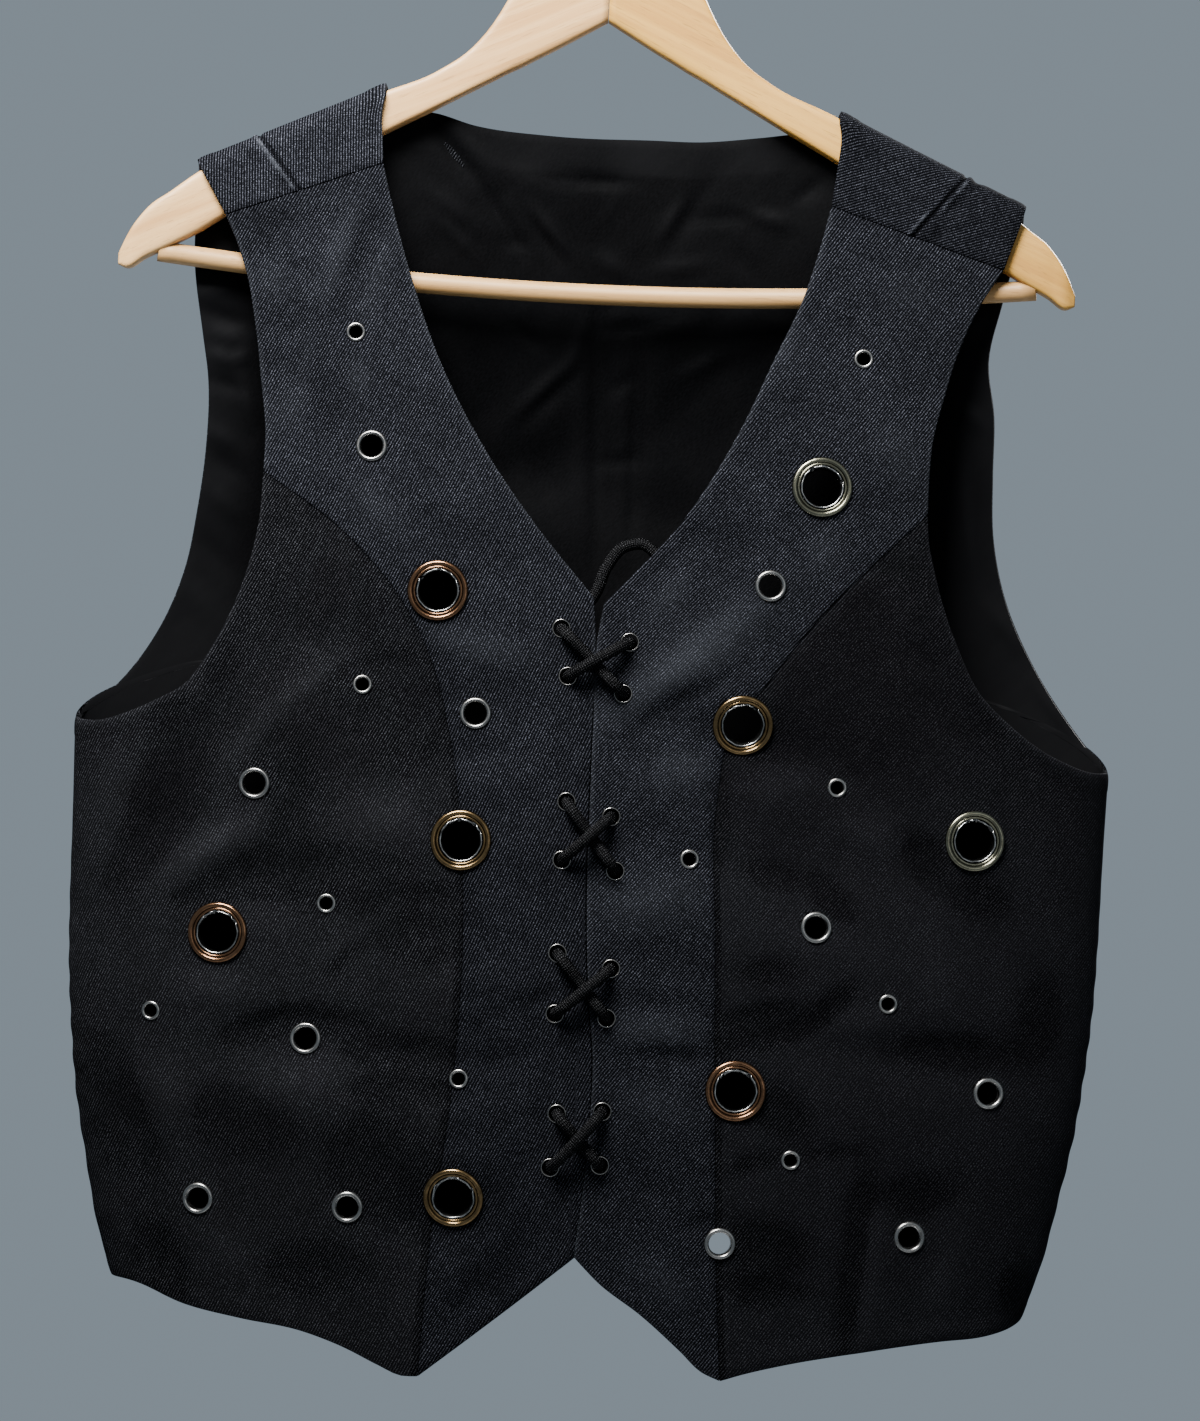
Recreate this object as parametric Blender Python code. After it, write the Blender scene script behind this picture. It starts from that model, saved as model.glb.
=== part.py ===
"""A laced denim waistcoat with metal eyelets, hanging on a wooden coat hanger.

Metres, +Z up. The front faces -Y and +X is on the right of someone who looks at it. The
origin is where a rail carries the hook, so everything hangs below it. The tables are in
millimetres: x is across, and drop is how far a point hangs below the rail.
"""

import math

import bmesh
import bpy
import numpy as np
from mathutils import Matrix, Vector
from mathutils.bvhtree import BVHTree

MM = 0.001
FRONT, BACK = -1, 1

# Walls and the clearance that neighbouring pieces keep.
GAP = 0.3
LINING_GAP = 0.6
DENIM = 1.7
LINING = 1.0
YOKE = 2.4
SHARP_ANGLE = 35

# The hollow body of the garment: it hangs a little to the right of the hanger's middle.
CENTRE_X = 7.5
BODY = (  # drop, half width, depth of the front, depth of the back
    (150, 244.0, 27, 25),
    (300, 244.0, 30, 29),
    (400, 244.0, 33, 32),
    (460, 243.3, 35, 34),
    (500, 242.5, 37, 35),
    (540, 242.0, 39, 36),
    (570, 241.0, 40, 36),
    (600, 238.5, 40, 36),
    (630, 234.8, 40, 35),
    (660, 229.0, 39, 34),
    (690, 222.5, 38, 33),
    (715, 214.5, 37, 32),
    (755, 206.0, 36, 31),
)

# How the cloth lies against the hanger's arms and falls away from them below.
RIDGE_START = (105, 151)
RIDGE_SLOPE = 0.468
HANG_OFFSET = {FRONT: 9.8, BACK: 10.6}
FALL_START = 30
FALL_LENGTH = 200
FOLD_FADE = 2

# The largest soft folds. A negative height is a trough.
FOLDS = {
    FRONT: (  # x, drop, turn in degrees, half length, half width, height
        (-146, 466, 60, 70, 22, 3.5),
        (-190, 520, 62, 60, 20, -2.5),
        (-112, 413, 4, 34, 15, -3.0),
        (-120, 598, 3, 60, 16, -2.5),
        (-120, 630, 0, 70, 18, 2.0),
        (-128, 262, 88, 60, 13, 2.5),
        (131, 300, 84, 60, 14, 2.0),
        (112, 505, 0, 50, 15, -2.5),
        (150, 592, -4, 60, 16, -2.5),
        (175, 470, -58, 60, 20, 3.0),
        (70, 427, 5, 26, 14, 3.0),
        (82, 457, -8, 26, 13, -2.5),
        (-46, 650, 4, 30, 14, 3.0),
        (-50, 682, -4, 30, 13, -2.5),
    ),
    BACK: (
        (0, 430, 90, 150, 16, 2.5),
        (-95, 520, 78, 110, 20, -2.5),
        (110, 540, 102, 110, 20, -2.5),
        (-60, 330, 12, 80, 16, 2.0),
        (75, 350, -10, 80, 16, 2.0),
        (0, 620, 3, 110, 18, -2.0),
    ),
}

# Outlines, as (x, drop). Left is the side at -X.
YOKE_SEAM = {-1: ((-102, 188), (-174, 216)), 1: ((108, 199), (189, 226))}
RIDGE_ENDS = {-1: (-105, -189), 1: (113, 199)}
NECK_EDGE = {
    -1: ((-102, 188), (-97, 207), (-87, 239), (-71, 280), (-51, 316), (-21, 357), (5.5, 387)),
    1: ((108, 199), (103, 221), (97, 242), (84, 273), (70, 306), (42, 354), (10.3, 389.5)),
}
CENTRE_EDGE = {
    -1: (
        (5.5, 387), (7.2, 407), (7.3, 444), (7.4, 481), (8, 527), (11, 573), (14, 600), (13.6, 640),
        (9.8, 692.5),
    ),
    1: (
        (10.3, 389.5), (7.8, 407), (7.7, 444), (7.8, 481), (8.4, 527), (11.4, 573), (14.4, 600),
        (14, 640), (10.4, 693),
    ),
}
ARMHOLE_TOP = {
    -1: ((-174, 216), (-168, 229), (-163, 243), (-158, 266), (-154, 293), (-151, 316), (-151, 335)),
    1: ((189, 226), (180, 241), (170, 265), (164, 288), (160, 307), (159, 325), (159, 342)),
}
ARMHOLE_LOW = {
    -1: (
        (-236, 453), (-216, 452), (-198, 444), (-182, 434), (-174, 422), (-165, 405), (-156, 379),
        (-152, 358), (-151, 335),
    ),
    1: (
        (251, 458), (234, 456), (218, 449), (201, 437), (189, 426), (174, 399), (163, 367),
        (160, 354), (159, 342),
    ),
}
PRINCESS_SEAM = {
    -1: (
        (-151, 335), (-113, 361), (-84, 392), (-69, 419), (-58, 456), (-51, 502), (-48, 553),
        (-50, 618), (-57, 687), (-60, 751),
    ),
    1: (
        (159, 342), (137, 364), (110, 393), (89, 422), (71, 450), (67, 478), (69, 548), (72, 617),
        (77, 709), (80, 747),
    ),
}
HEM_CENTRE = {
    -1: ((-60, 751), (-32, 728), (-14, 713), (9.8, 692.5)),
    1: ((80, 747), (71, 743), (61, 734), (42, 718), (22, 704), (10.4, 693)),
}
HEM_SIDE = {
    -1: (
        (-207, 714), (-190, 717), (-171, 724), (-143, 729), (-115, 733), (-96, 739), (-78, 747),
        (-68, 751), (-60, 751),
    ),
    1: ((221, 716), (212, 721), (200, 724), (181, 726), (144, 732), (108, 739), (89, 744), (80, 747)),
}
ARMHOLE_BACK = {
    -1: (
        (-189, 201), (-189, 238), (-184, 271), (-181, 290), (-181, 324), (-184, 352), (-189, 381),
        (-200, 410), (-221, 440), (-236, 453),
    ),
    1: (
        (199, 206), (191, 240), (186, 267), (190, 293), (191, 321), (193, 350), (200, 378),
        (213, 406), (236, 440), (251, 458),
    ),
}
BACK_NECK = (
    (-105, 160.3), (-92, 160.5), (-81, 161), (-61, 166), (-25, 169),
    (24, 169), (46, 169), (74, 166), (93, 163.5), (113, 164),
)
BACK_HEM = ((-207, 714), (-160, 693), (-80, 682), (7, 680), (84, 682), (168, 693), (221, 716))

# Steps of the cloth's grids. ROUND_SPACING is the millimetres that a radian round the body
# counts as when an edge's points are spaced, and SMALL the step that a slope is measured over.
ROUND_SPACING = 150
SMALL = 0.002
PANEL_COLUMNS = 8
TOP_STEPS, SEAM_STEPS = 7, 15
NECK_STEPS, CENTRE_STEPS = 9, 13
SIDE_COLUMNS = 7
BACK_SEAM_COLUMNS, BACK_NECK_COLUMNS = 3, 10
BACK_ARMHOLE_ROWS, BACK_SIDE_ROWS = 8, 10
YOKE_COLUMNS, YOKE_LEG_ROWS, YOKE_ARC_ROWS = 6, 3, 8
YOKE_ARC_HEIGHT = 9
YOKE_OFFSET = {FRONT: 10.3, BACK: 10.9}

# How far the lining stops inside each edge of the back, and how much it stands off at the
# underarm. The rows count from the bottom of the armhole.
LINING_INSET = {"neck": 2.5, "armhole": 2.5, "underarm": 8.0, "side": 8.0, "hem": 14.0}
LINING_INSET_ROWS = (-3, -1, 0, 2)
UNDERARM_SLACK = 2.2
UNDERARM_ROWS = (-3, -2, 1, 2)
MOST_DRAWN_IN = 0.9

# Eyelets: outer, bore and barrel radius, height of the rim, thickness of the washer, sides.
EYELETS = {
    "large": (14.0, 8.6, 9.5, 1.9, 0.9, 12),
    "medium": (7.5, 5.1, 5.7, 1.2, 0.7, 10),
    "small": (4.6, 2.9, 3.3, 0.8, 0.6, 8),
    "lacing": (4.4, 3.6, 3.85, 0.5, 0.5, 8),
}
BARREL_GAP = 0.35
SEAT_RINGS, SEAT_POINTS = (0.55, 1.0), 12
CROWN_AT, CROWN_START, EDGE_AT, EDGE_RISE = 0.4, 0.8, 0.92, 0.5
THIN_RIMS = ("small", "lacing")
RAY_START = -500
PUNCH_DEPTH = 20
EYELET_PLACES = {  # x, drop, finish
    "large": (
        (-67, 387, "copper"), (-51, 502, "brass"), (-162, 550, "copper"), (-47, 667, "brass"),
        (109, 331, "nickel"), (77, 443, "brass"), (187, 492, "nickel"), (81, 612, "copper"),
    ),
    "medium": (
        (-101, 321, "nickel"), (-47, 443, "nickel"), (-148, 480, "nickel"), (-119, 597, "nickel"),
        (-166, 674, "nickel"), (-96, 674, "nickel"), (87, 378, "nickel"), (115, 535, "nickel"),
        (199, 609, "nickel"), (165, 677, "nickel"), (77, 683, "nickel"),
    ),
    "small": (
        (-111, 268, "nickel"), (-100, 432, "nickel"), (-112, 534, "nickel"), (-192, 588, "nickel"),
        (-47, 612, "nickel"), (126, 270, "nickel"), (55, 506, "nickel"), (122, 470, "nickel"),
        (150, 569, "nickel"), (108, 643, "nickel"),
    ),
    "lacing": (
        (-9, 402, "nickel"), (23, 407, "nickel"), (-5, 424, "nickel"), (21, 431, "nickel"),
        (-3, 482, "nickel"), (18, 488, "nickel"), (-4, 509, "nickel"), (21, 513, "nickel"),
        (-4, 552, "nickel"), (21, 558, "nickel"), (-4, 580, "nickel"), (20, 581, "nickel"),
        (-1, 626, "nickel"), (20, 624, "nickel"), (-3, 651, "nickel"), (20, 649, "nickel"),
    ),
}

# The lace: its passes through the lacing eyelets, then its shape at each pass and crossing.
LACE_RADIUS = 2.6
LACE_ORDER = (1, 4, 6, 7, 9, 12, 14, 15, 16, 13, 11, 10, 8, 5, 3, 2)
PASS_INSIDE = (1.8, -6.8)
PASS_MIDDLE = (0.3, -1.0)
PASS_OUTSIDE = (1.9, 5.2)
RUN_DEPTH = 8.0
UNDER_HEIGHT = 3.4
OVER_HEIGHT, OVER_SPREAD = 9.2, 3.0
LOOP = (  # x, drop, distance behind the front's outer face
    (44, 468, 8.5),
    (45, 446, 8.5),
    (45, 424, 8.5),
    (44, 402, 9),
    (41, 382, 10),
    (35, 367, 11),
    (27, 361, 12),
    (18, 363, 12),
    (11, 372, 11),
    (6, 385, 10),
    (-2, 396, 9),
)
HIDDEN_END = ((29, 414, 8.5), (33, 428, 8.5), (34, 448, 8.5), (34, 470, 8.5), (33, 490, 8.5))

# The hanger.
ARM_BOW = 18
ARM_BOW_AT = 225
ARM = (  # distance from the middle, drop of the top, drop of the underside, half thickness
    (0.15, 70.0, 116, 6.5),
    (12, 71.0, 123, 6.5),
    (24, 75.5, 130, 6.5),
    (33, 82, 135, 6.5),
    (40, 92, 139, 6.5),
    (46, 105, 142, 6.5),
    (53, 118, 146, 6.5),
    (62, 130, 151, 6.5),
    (78, 142.5, 160, 6.5),
    (105, 154.8, 175, 6.5),
    (140, 171.2, 196, 6.5),
    (170, 185.4, 213, 6.5),
    (188, 196.5, 225, 6.5),
    (200, 206, 232, 6.5),
    (211, 215, 238, 6.2),
    (219, 227, 243, 5.0),
    (223, 236, 241.5, 2.6),
)
ARM_SECTION_POINTS = 12
ARM_SQUARENESS = 0.5
BAR_RADIUS = 4.8
BAR_REACH, BAR_DROP, BAR_RISE = 205, 244.0, 9.8
BAR_STEPS, BAR_SIDES = 12, 10
HOOK_WIRE, HOOK_INNER = 1.9, 17.0
HOOK_ARC = (215, -15)
HOOK_ARC_STEPS = 18
SOCKET_SIDES = 8
SHANK = ((0, 96), (0, 84), (0, 72), (0, 60), (-0.6, 52), (-3.4, 44.5), (-8.5, 37))

MATERIALS = {  # colour, roughness, metallic
    "denim_blue": ((0.14, 0.155, 0.19), 0.85, 0),
    "denim_dark": ((0.085, 0.09, 0.105), 0.85, 0),
    "lining": ((0.03, 0.03, 0.034), 0.5, 0),
    "wood": ((0.80, 0.60, 0.42), 0.45, 0),
    "steel": ((0.75, 0.75, 0.76), 0.2, 1),
    "nickel": ((0.72, 0.71, 0.68), 0.25, 1),
    "brass": ((0.62, 0.47, 0.27), 0.3, 1),
    "copper": ((0.58, 0.36, 0.25), 0.3, 1),
    "cord": ((0.02, 0.02, 0.022), 0.8, 0),
}


# ---- sizes between the rows of a table -----------------------------------------------------


def between(at, rows_at, values):
    """Values on a smooth curve through a table's rows, level beyond its ends."""
    rows_at = np.asarray(rows_at, float)
    values = np.asarray(values, float)
    at = np.clip(np.asarray(at, float), rows_at[0], rows_at[-1])
    slopes = np.gradient(values, rows_at, axis=0)
    row = np.clip(np.searchsorted(rows_at, at, side="right") - 1, 0, len(rows_at) - 2)
    width = rows_at[row + 1] - rows_at[row]
    part = (at - rows_at[row]) / width
    if values.ndim > 1:
        part, width = part[..., None], width[..., None]
    start = (1 + 2 * part) * (1 - part) ** 2 * values[row]
    start_slope = part * (1 - part) ** 2 * width * slopes[row]
    end = part**2 * (3 - 2 * part) * values[row + 1]
    end_slope = part**2 * (part - 1) * width * slopes[row + 1]
    return start + start_slope + end + end_slope


def along(points, steps):
    """Points spaced evenly on a smooth line through the given ones."""
    points = np.asarray(points, float)
    if len(points) == 2:
        return np.linspace(points[0], points[1], steps + 1)
    chords = np.linalg.norm(np.diff(points, axis=0), axis=1)
    places = np.concatenate([[0], np.cumsum(chords)])
    fine = between(np.linspace(0, places[-1], 40 * steps), places, points)
    run = np.concatenate([[0], np.cumsum(np.linalg.norm(np.diff(fine, axis=0), axis=1))])
    even = np.linspace(0, run[-1], steps + 1)
    return np.column_stack([np.interp(even, run, fine[:, axis]) for axis in range(points.shape[1])])


def soft_step(value):
    value = np.clip(value, 0, 1)
    return value * value * (3 - 2 * value)


def body(column, drop):
    """The body's half width or depth, from its column in the table, at a drop."""
    table = np.array(BODY, float)
    return between(drop, table[:, 0], table[:, column])


# ---- the garment's form --------------------------------------------------------------------


def ridge_drop(x):
    """Drop of the shoulder line, where the cloth turns over the hanger's arm."""
    return RIDGE_START[1] + RIDGE_SLOPE * (np.abs(x) - RIDGE_START[0])


def arm_bow(x):
    """The arms curve forwards towards their tips."""
    return -ARM_BOW * (x / ARM_BOW_AT) ** 2


def fold_height(side, x, drop):
    """How far the soft folds lift the sheet at a point."""
    height = np.zeros(np.shape(x))
    for fold_x, fold_drop, turn, half_length, half_width, rise in FOLDS[side]:
        cos, sin = math.cos(math.radians(turn)), math.sin(math.radians(turn))
        run = (x - fold_x) * cos - (drop - fold_drop) * sin
        across = (x - fold_x) * sin + (drop - fold_drop) * cos
        height = height + rise * np.exp(-((run / half_length) ** 2) - (across / half_width) ** 2)
    return height


def outer_y(side, x, drop):
    """Y of the outer face of the front or back sheet, in millimetres."""
    x, drop = np.asarray(x, float), np.asarray(drop, float)
    across = np.clip((x - CENTRE_X) / body(1, drop), -1, 1)
    round_off = np.sqrt(1 - across**2)
    depth = body(2 if side == FRONT else 3, drop)
    folds = fold_height(side, x, drop) * soft_step(round_off * FOLD_FADE)
    hollow = GAP / 2 + depth * round_off + folds
    on_arm = arm_bow(x) + side * HANG_OFFSET[side]
    fall = soft_step((drop - ridge_drop(x) - FALL_START) / FALL_LENGTH)
    return on_arm + (side * hollow - on_arm) * fall


def to_round(edge):
    """An edge's (x, drop) points as (angle round the body, drop)."""
    across = np.clip((edge[:, 0] - CENTRE_X) / body(1, edge[:, 1]), -1, 1)
    return np.column_stack([np.arcsin(across), edge[:, 1]])


def along_round(points, steps):
    """Points on a smooth edge, spaced evenly in angle round the body and in height."""
    round_points = to_round(np.asarray(points, float))
    even = along(round_points * (ROUND_SPACING, 1), steps) / (ROUND_SPACING, 1)
    x = CENTRE_X + body(1, even[:, 1]) * np.sin(even[:, 0])
    return np.column_stack([x, even[:, 1]])


def on_sheet(side, angle, drop):
    """The outer face's point at an angle round the body and a drop."""
    x = CENTRE_X + body(1, drop) * np.sin(angle)
    return np.stack([x, outer_y(side, x, drop), -drop], axis=-1)


def sheet_points(side, left, right, top, bottom):
    """Points and outward normals of the sheet between four edges, rows from top to bottom."""
    left, right, top, bottom = (to_round(edge) for edge in (left, right, top, bottom))
    top[0], top[-1], bottom[0], bottom[-1] = left[0], right[0], left[-1], right[-1]
    down = np.linspace(0, 1, len(left))[:, None, None]
    over = np.linspace(0, 1, len(top))[None, :, None]
    sides = (1 - over) * left[:, None] + over * right[:, None]
    ends = (1 - down) * top[None] + down * bottom[None]
    corners = (1 - down) * ((1 - over) * left[0] + over * right[0])
    corners = corners + down * ((1 - over) * left[-1] + over * right[-1])
    grid = sides + ends - corners
    angle, drop = grid[..., 0], grid[..., 1]
    inwards = np.where(angle > 0, -SMALL, SMALL)
    here = on_sheet(side, angle, drop)
    over = (on_sheet(side, angle + inwards, drop) - here) / inwards[..., None]
    down = on_sheet(side, angle, drop + SMALL) - here
    normals = np.cross(over, down) * side
    return here, normals / np.linalg.norm(normals, axis=-1, keepdims=True)


def shifted(line, distance):
    """A seam's line moved sideways, towards +X where distance is positive and it runs down."""
    step = np.gradient(line, axis=0)
    length = np.linalg.norm(step, axis=1, keepdims=True)
    return line + distance * np.column_stack([step[:, 1], -step[:, 0]]) / length


# ---- making objects ------------------------------------------------------------------------


def clear_scene():
    for item in list(bpy.data.objects):
        bpy.data.objects.remove(item, do_unlink=True)


def make_materials():
    for name, (colour, roughness, metallic) in MATERIALS.items():
        material = bpy.data.materials.new(name)
        material.use_nodes = True
        shader = material.node_tree.nodes["Principled BSDF"]
        shader.inputs["Base Color"].default_value = (*colour, 1)
        shader.inputs["Roughness"].default_value = roughness
        shader.inputs["Metallic"].default_value = metallic


def add_object(name, data, material):
    item = bpy.data.objects.new(name, data)
    bpy.context.scene.collection.objects.link(item)
    if material:
        data.materials.append(bpy.data.materials[material])
    return item


def finish_mesh(name, shape, material):
    bmesh.ops.recalc_face_normals(shape, faces=shape.faces)
    mesh = bpy.data.meshes.new(name)
    shape.to_mesh(mesh)
    shape.free()
    mesh.shade_smooth()
    mesh.set_sharp_from_angle(angle=math.radians(SHARP_ANGLE))
    return add_object(name, mesh, material)


def facing_out(points, outward):
    """Unit normals at a grid's points, on the side of the outward direction."""
    down = np.gradient(points, axis=0, edge_order=2)
    over = np.gradient(points, axis=1, edge_order=2)
    normals = np.cross(down, over)
    normals = normals / np.linalg.norm(normals, axis=-1, keepdims=True)
    return normals if normals.sum(axis=(0, 1)) @ outward > 0 else -normals


def grid_shape(points):
    """A flat grid of mirrored triangles, and a way to tell the row and column of a corner."""
    rows, columns = points.shape[0] - 1, points.shape[1] - 1
    shape = bmesh.new()
    bmesh.ops.create_grid(shape, x_segments=columns, y_segments=rows, size=0.5)
    halves = ([], [])
    for face in shape.faces:
        row, column = face.calc_center_median().y, face.calc_center_median().x
        place = points[round((row + 0.5) * rows - 0.5), round((column + 0.5) * columns - 0.5)]
        halves[int(place[0] > CENTRE_X)].append(face)
    for half, method in zip(halves, ("FIXED", "ALTERNATE")):
        bmesh.ops.triangulate(shape, faces=half, quad_method=method)

    def place(vert):
        return round((vert.co.y + 0.5) * rows), round((vert.co.x + 0.5) * columns)

    return shape, place


def face_tree(points):
    """A search tree of the sheet through a grid of points."""
    shape, place = grid_shape(points)
    for vert in shape.verts:
        vert.co = Vector(points[place(vert)] * MM)
    tree = BVHTree.FromBMesh(shape)
    shape.free()
    return tree


def wall_object(name, outer, inner, material):
    """A closed wall of cloth between its outer and inner grids of points."""
    shape, place = grid_shape(outer)
    made = bmesh.ops.extrude_face_region(shape, geom=shape.faces[:])["geom"]
    inside = {item for item in made if isinstance(item, bmesh.types.BMVert)}
    for vert in shape.verts:
        points = inner if vert in inside else outer
        vert.co = Vector(points[place(vert)] * MM)
    return finish_mesh(name, shape, material)


def extruded(name, rings, material):
    """A closed solid through rings of points, made by extruding the first ring's face."""
    shape = bmesh.new()
    bmesh.ops.create_circle(shape, cap_ends=True, segments=len(rings[0]), radius=1)
    shape.faces.ensure_lookup_table()
    cap = shape.faces[0]
    for vert, point in zip(list(cap.verts), rings[0]):
        vert.co = Vector(point) * MM
    for number, ring in enumerate(rings[1:]):
        made = bmesh.ops.extrude_face_region(shape, geom=[cap])["geom"]
        if number:
            bmesh.ops.delete(shape, geom=[cap], context="FACES_ONLY")
        cap = next(item for item in made if isinstance(item, bmesh.types.BMFace))
        for vert, point in zip(list(cap.verts), ring):
            vert.co = Vector(point) * MM
    return finish_mesh(name, shape, material)


def tube(name, points, radius, sides, material):
    """A round rod through a line of points, each with its ring square to the line."""
    points = np.asarray(points, float)
    heading = np.gradient(points, axis=0)
    heading = heading / np.linalg.norm(heading, axis=1, keepdims=True)
    upright = np.array([0, 0, 1.0])
    angles = np.arange(sides) * 2 * math.pi / sides
    rings = []
    for point, forward in zip(points, heading):
        flat = np.cross(upright, forward)
        flat = flat / np.linalg.norm(flat)
        rise = np.cross(forward, flat)
        rings.append([point + radius * (math.cos(a) * flat + math.sin(a) * rise) for a in angles])
    return extruded(name, rings, material)


def wire(name, points, radius, material):
    """A bent wire or cord: a curve with a round bevel and closed ends."""
    curve = bpy.data.curves.new(name, "CURVE")
    curve.dimensions = "3D"
    curve.bevel_depth = radius * MM
    curve.bevel_resolution = 2
    curve.use_fill_caps = True
    spline = curve.splines.new("POLY")
    spline.points.add(len(points) - 1)
    for place, point in zip(spline.points, points):
        place.co = (*(Vector(point) * MM), 1)
    return add_object(name, curve, material)


def cut(item, cutter):
    cutter.hide_render = True
    cutter.display_type = "WIRE"
    tool = item.modifiers.new("cut", "BOOLEAN")
    tool.object = cutter
    tool.solver = "EXACT"


# ---- cloth ---------------------------------------------------------------------------------


def joined(*lines):
    """Lines that follow on from each other, as one, with each shared point once."""
    return np.concatenate([lines[0]] + [line[1:] for line in lines[1:]])


def front_centre_points(hand):
    """Grid of a centre front; hand is -1 for the left and 1 for the right."""
    seam = shifted(along(PRINCESS_SEAM[hand], SEAM_STEPS), -hand * GAP / 2)
    armhole = along(ARMHOLE_TOP[hand], TOP_STEPS)
    armhole[0, 1] += GAP / 2
    armhole[-1] = seam[0]
    outer = joined(armhole, seam)
    neck = along(NECK_EDGE[hand], NECK_STEPS)
    neck[0, 1] += GAP / 2
    inner = joined(neck, along(CENTRE_EDGE[hand], CENTRE_STEPS))
    inner_top, outer_top = (np.array(point, float) for point in YOKE_SEAM[hand])
    top = along((outer_top, inner_top), PANEL_COLUMNS)
    top[:, 1] += GAP / 2
    hem = along(HEM_CENTRE[hand], PANEL_COLUMNS)
    return sheet_points(FRONT, outer, inner, top, hem)


def side_seam(hand, start, end, steps):
    """The side of the body, where front and back meet, from one drop to another."""
    drop = np.linspace(start, end, steps + 1)
    return np.column_stack([CENTRE_X + hand * body(1, drop), drop])


def front_side_points(hand):
    """Grid of a side front, between the side seam and the princess seam."""
    seam = shifted(along(PRINCESS_SEAM[hand], SEAM_STEPS), hand * GAP / 2)
    armhole = along_round(ARMHOLE_LOW[hand], SIDE_COLUMNS)
    hem = along_round(HEM_SIDE[hand], SIDE_COLUMNS)
    outer = side_seam(hand, ARMHOLE_LOW[hand][0][1], HEM_SIDE[hand][0][1], SEAM_STEPS)
    return sheet_points(FRONT, outer, seam, armhole, hem)


def back_yoke_seam(hand, steps):
    """Where a yoke ends, just behind the ridge, from the neck outwards."""
    x = np.linspace(*RIDGE_ENDS[hand], steps + 1)
    return np.column_stack([x, ridge_drop(x) + YOKE_ARC_HEIGHT])


def back_points():
    """Grid of the whole back, below the yokes."""
    edges = {}
    for hand in (-1, 1):
        armhole = along(ARMHOLE_BACK[hand], BACK_ARMHOLE_ROWS)
        low = side_seam(hand, armhole[-1, 1], BACK_HEM[0 if hand < 0 else -1][1], BACK_SIDE_ROWS)
        edges[hand] = joined(armhole, low)
    neck = along(BACK_NECK, BACK_NECK_COLUMNS)
    left_seam = back_yoke_seam(-1, BACK_SEAM_COLUMNS)[::-1]
    right_seam = back_yoke_seam(1, BACK_SEAM_COLUMNS)
    neck[0], neck[-1] = left_seam[-1], right_seam[0]
    top = joined(left_seam, neck, right_seam)
    top[:, 1] += GAP
    edges[-1][0], edges[1][0] = top[0], top[-1]
    hem = along_round(BACK_HEM, BACK_SEAM_COLUMNS * 2 + BACK_NECK_COLUMNS)
    return sheet_points(BACK, edges[-1], edges[1], top, hem)


def draw_in(grids, distance, row, towards):
    """Moves one row of each grid towards the next by a distance, measured on the first grid."""
    length = np.linalg.norm(grids[0][towards] - grids[0][row], axis=-1, keepdims=True)
    share = np.minimum(distance / length, MOST_DRAWN_IN)
    for grid in grids:
        grid[row] = grid[row] + (grid[towards] - grid[row]) * share


def make_back_and_lining():
    outer, normals = back_points()
    wall_object("back_panel", outer, outer - DENIM * normals, "denim_dark")
    below = np.arange(len(outer)) - BACK_ARMHOLE_ROWS
    slack = np.interp(below, UNDERARM_ROWS, (0, UNDERARM_SLACK, UNDERARM_SLACK, 0))
    depth = (DENIM + LINING_GAP + slack)[:, None, None]
    grids = [outer - depth * normals, outer - (depth + LINING) * normals]
    draw_in(grids, LINING_INSET["neck"], 0, 1)
    draw_in(grids, LINING_INSET["hem"], -1, -2)
    insets = [LINING_INSET[place] for place in ("armhole", "underarm", "underarm", "side")]
    inset = np.interp(below, LINING_INSET_ROWS, insets)[:, None]
    columns = [grid.transpose(1, 0, 2) for grid in grids]
    draw_in(columns, inset, 0, 1)
    draw_in(columns, inset, -1, -2)
    wall_object("back_lining", *grids, "lining")


def yoke_points(hand):
    """Grid of a shoulder yoke, from its front seam over the ridge to its back seam."""
    inner, outer = (np.array(point, float) for point in YOKE_SEAM[hand])
    share = np.linspace(0, 1, YOKE_COLUMNS + 1)[:, None]
    front_seam = inner + (outer - inner) * share - (0, GAP / 2)
    ridge_x, spring = back_yoke_seam(hand, YOKE_COLUMNS).T
    ridge = spring - YOKE_ARC_HEIGHT
    rows = []

    def add_row(drop, offset):
        lean = (drop - ridge) / (front_seam[:, 1] - ridge) * (offset < 0)
        x = ridge_x + (front_seam[:, 0] - ridge_x) * lean
        rows.append(np.column_stack([x, arm_bow(x) + offset, -drop]))

    for step in range(YOKE_LEG_ROWS):
        drop = front_seam[:, 1] + (spring - front_seam[:, 1]) * step / YOKE_LEG_ROWS
        add_row(drop, -YOKE_OFFSET[FRONT])
    for step in range(YOKE_ARC_ROWS + 1):
        angle = math.pi * step / YOKE_ARC_ROWS
        side = FRONT if angle < math.pi / 2 else BACK
        drop = spring - YOKE_ARC_HEIGHT * math.sin(angle)
        add_row(drop, -YOKE_OFFSET[side] * math.cos(angle))
    return np.array(rows)


def make_fronts():
    """The four front panels; a search tree of each one's face is returned for the eyelets."""
    trees = {}
    for hand, word in ((-1, "left"), (1, "right")):
        for name, (points, normals), material in (
            (f"front_centre_{word}", front_centre_points(hand), "denim_blue"),
            (f"front_side_{word}", front_side_points(hand), "denim_dark"),
        ):
            trees[name] = face_tree(points)
            wall_object(name, points, points - DENIM * normals, material)
    return trees


def make_yokes():
    for hand, word in ((-1, "left"), (1, "right")):
        points = yoke_points(hand)
        inner = points - YOKE * facing_out(points, (0, 0, 1))
        wall_object(f"yoke_{word}", points, inner, "denim_blue")


# ---- eyelets -------------------------------------------------------------------------------


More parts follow.
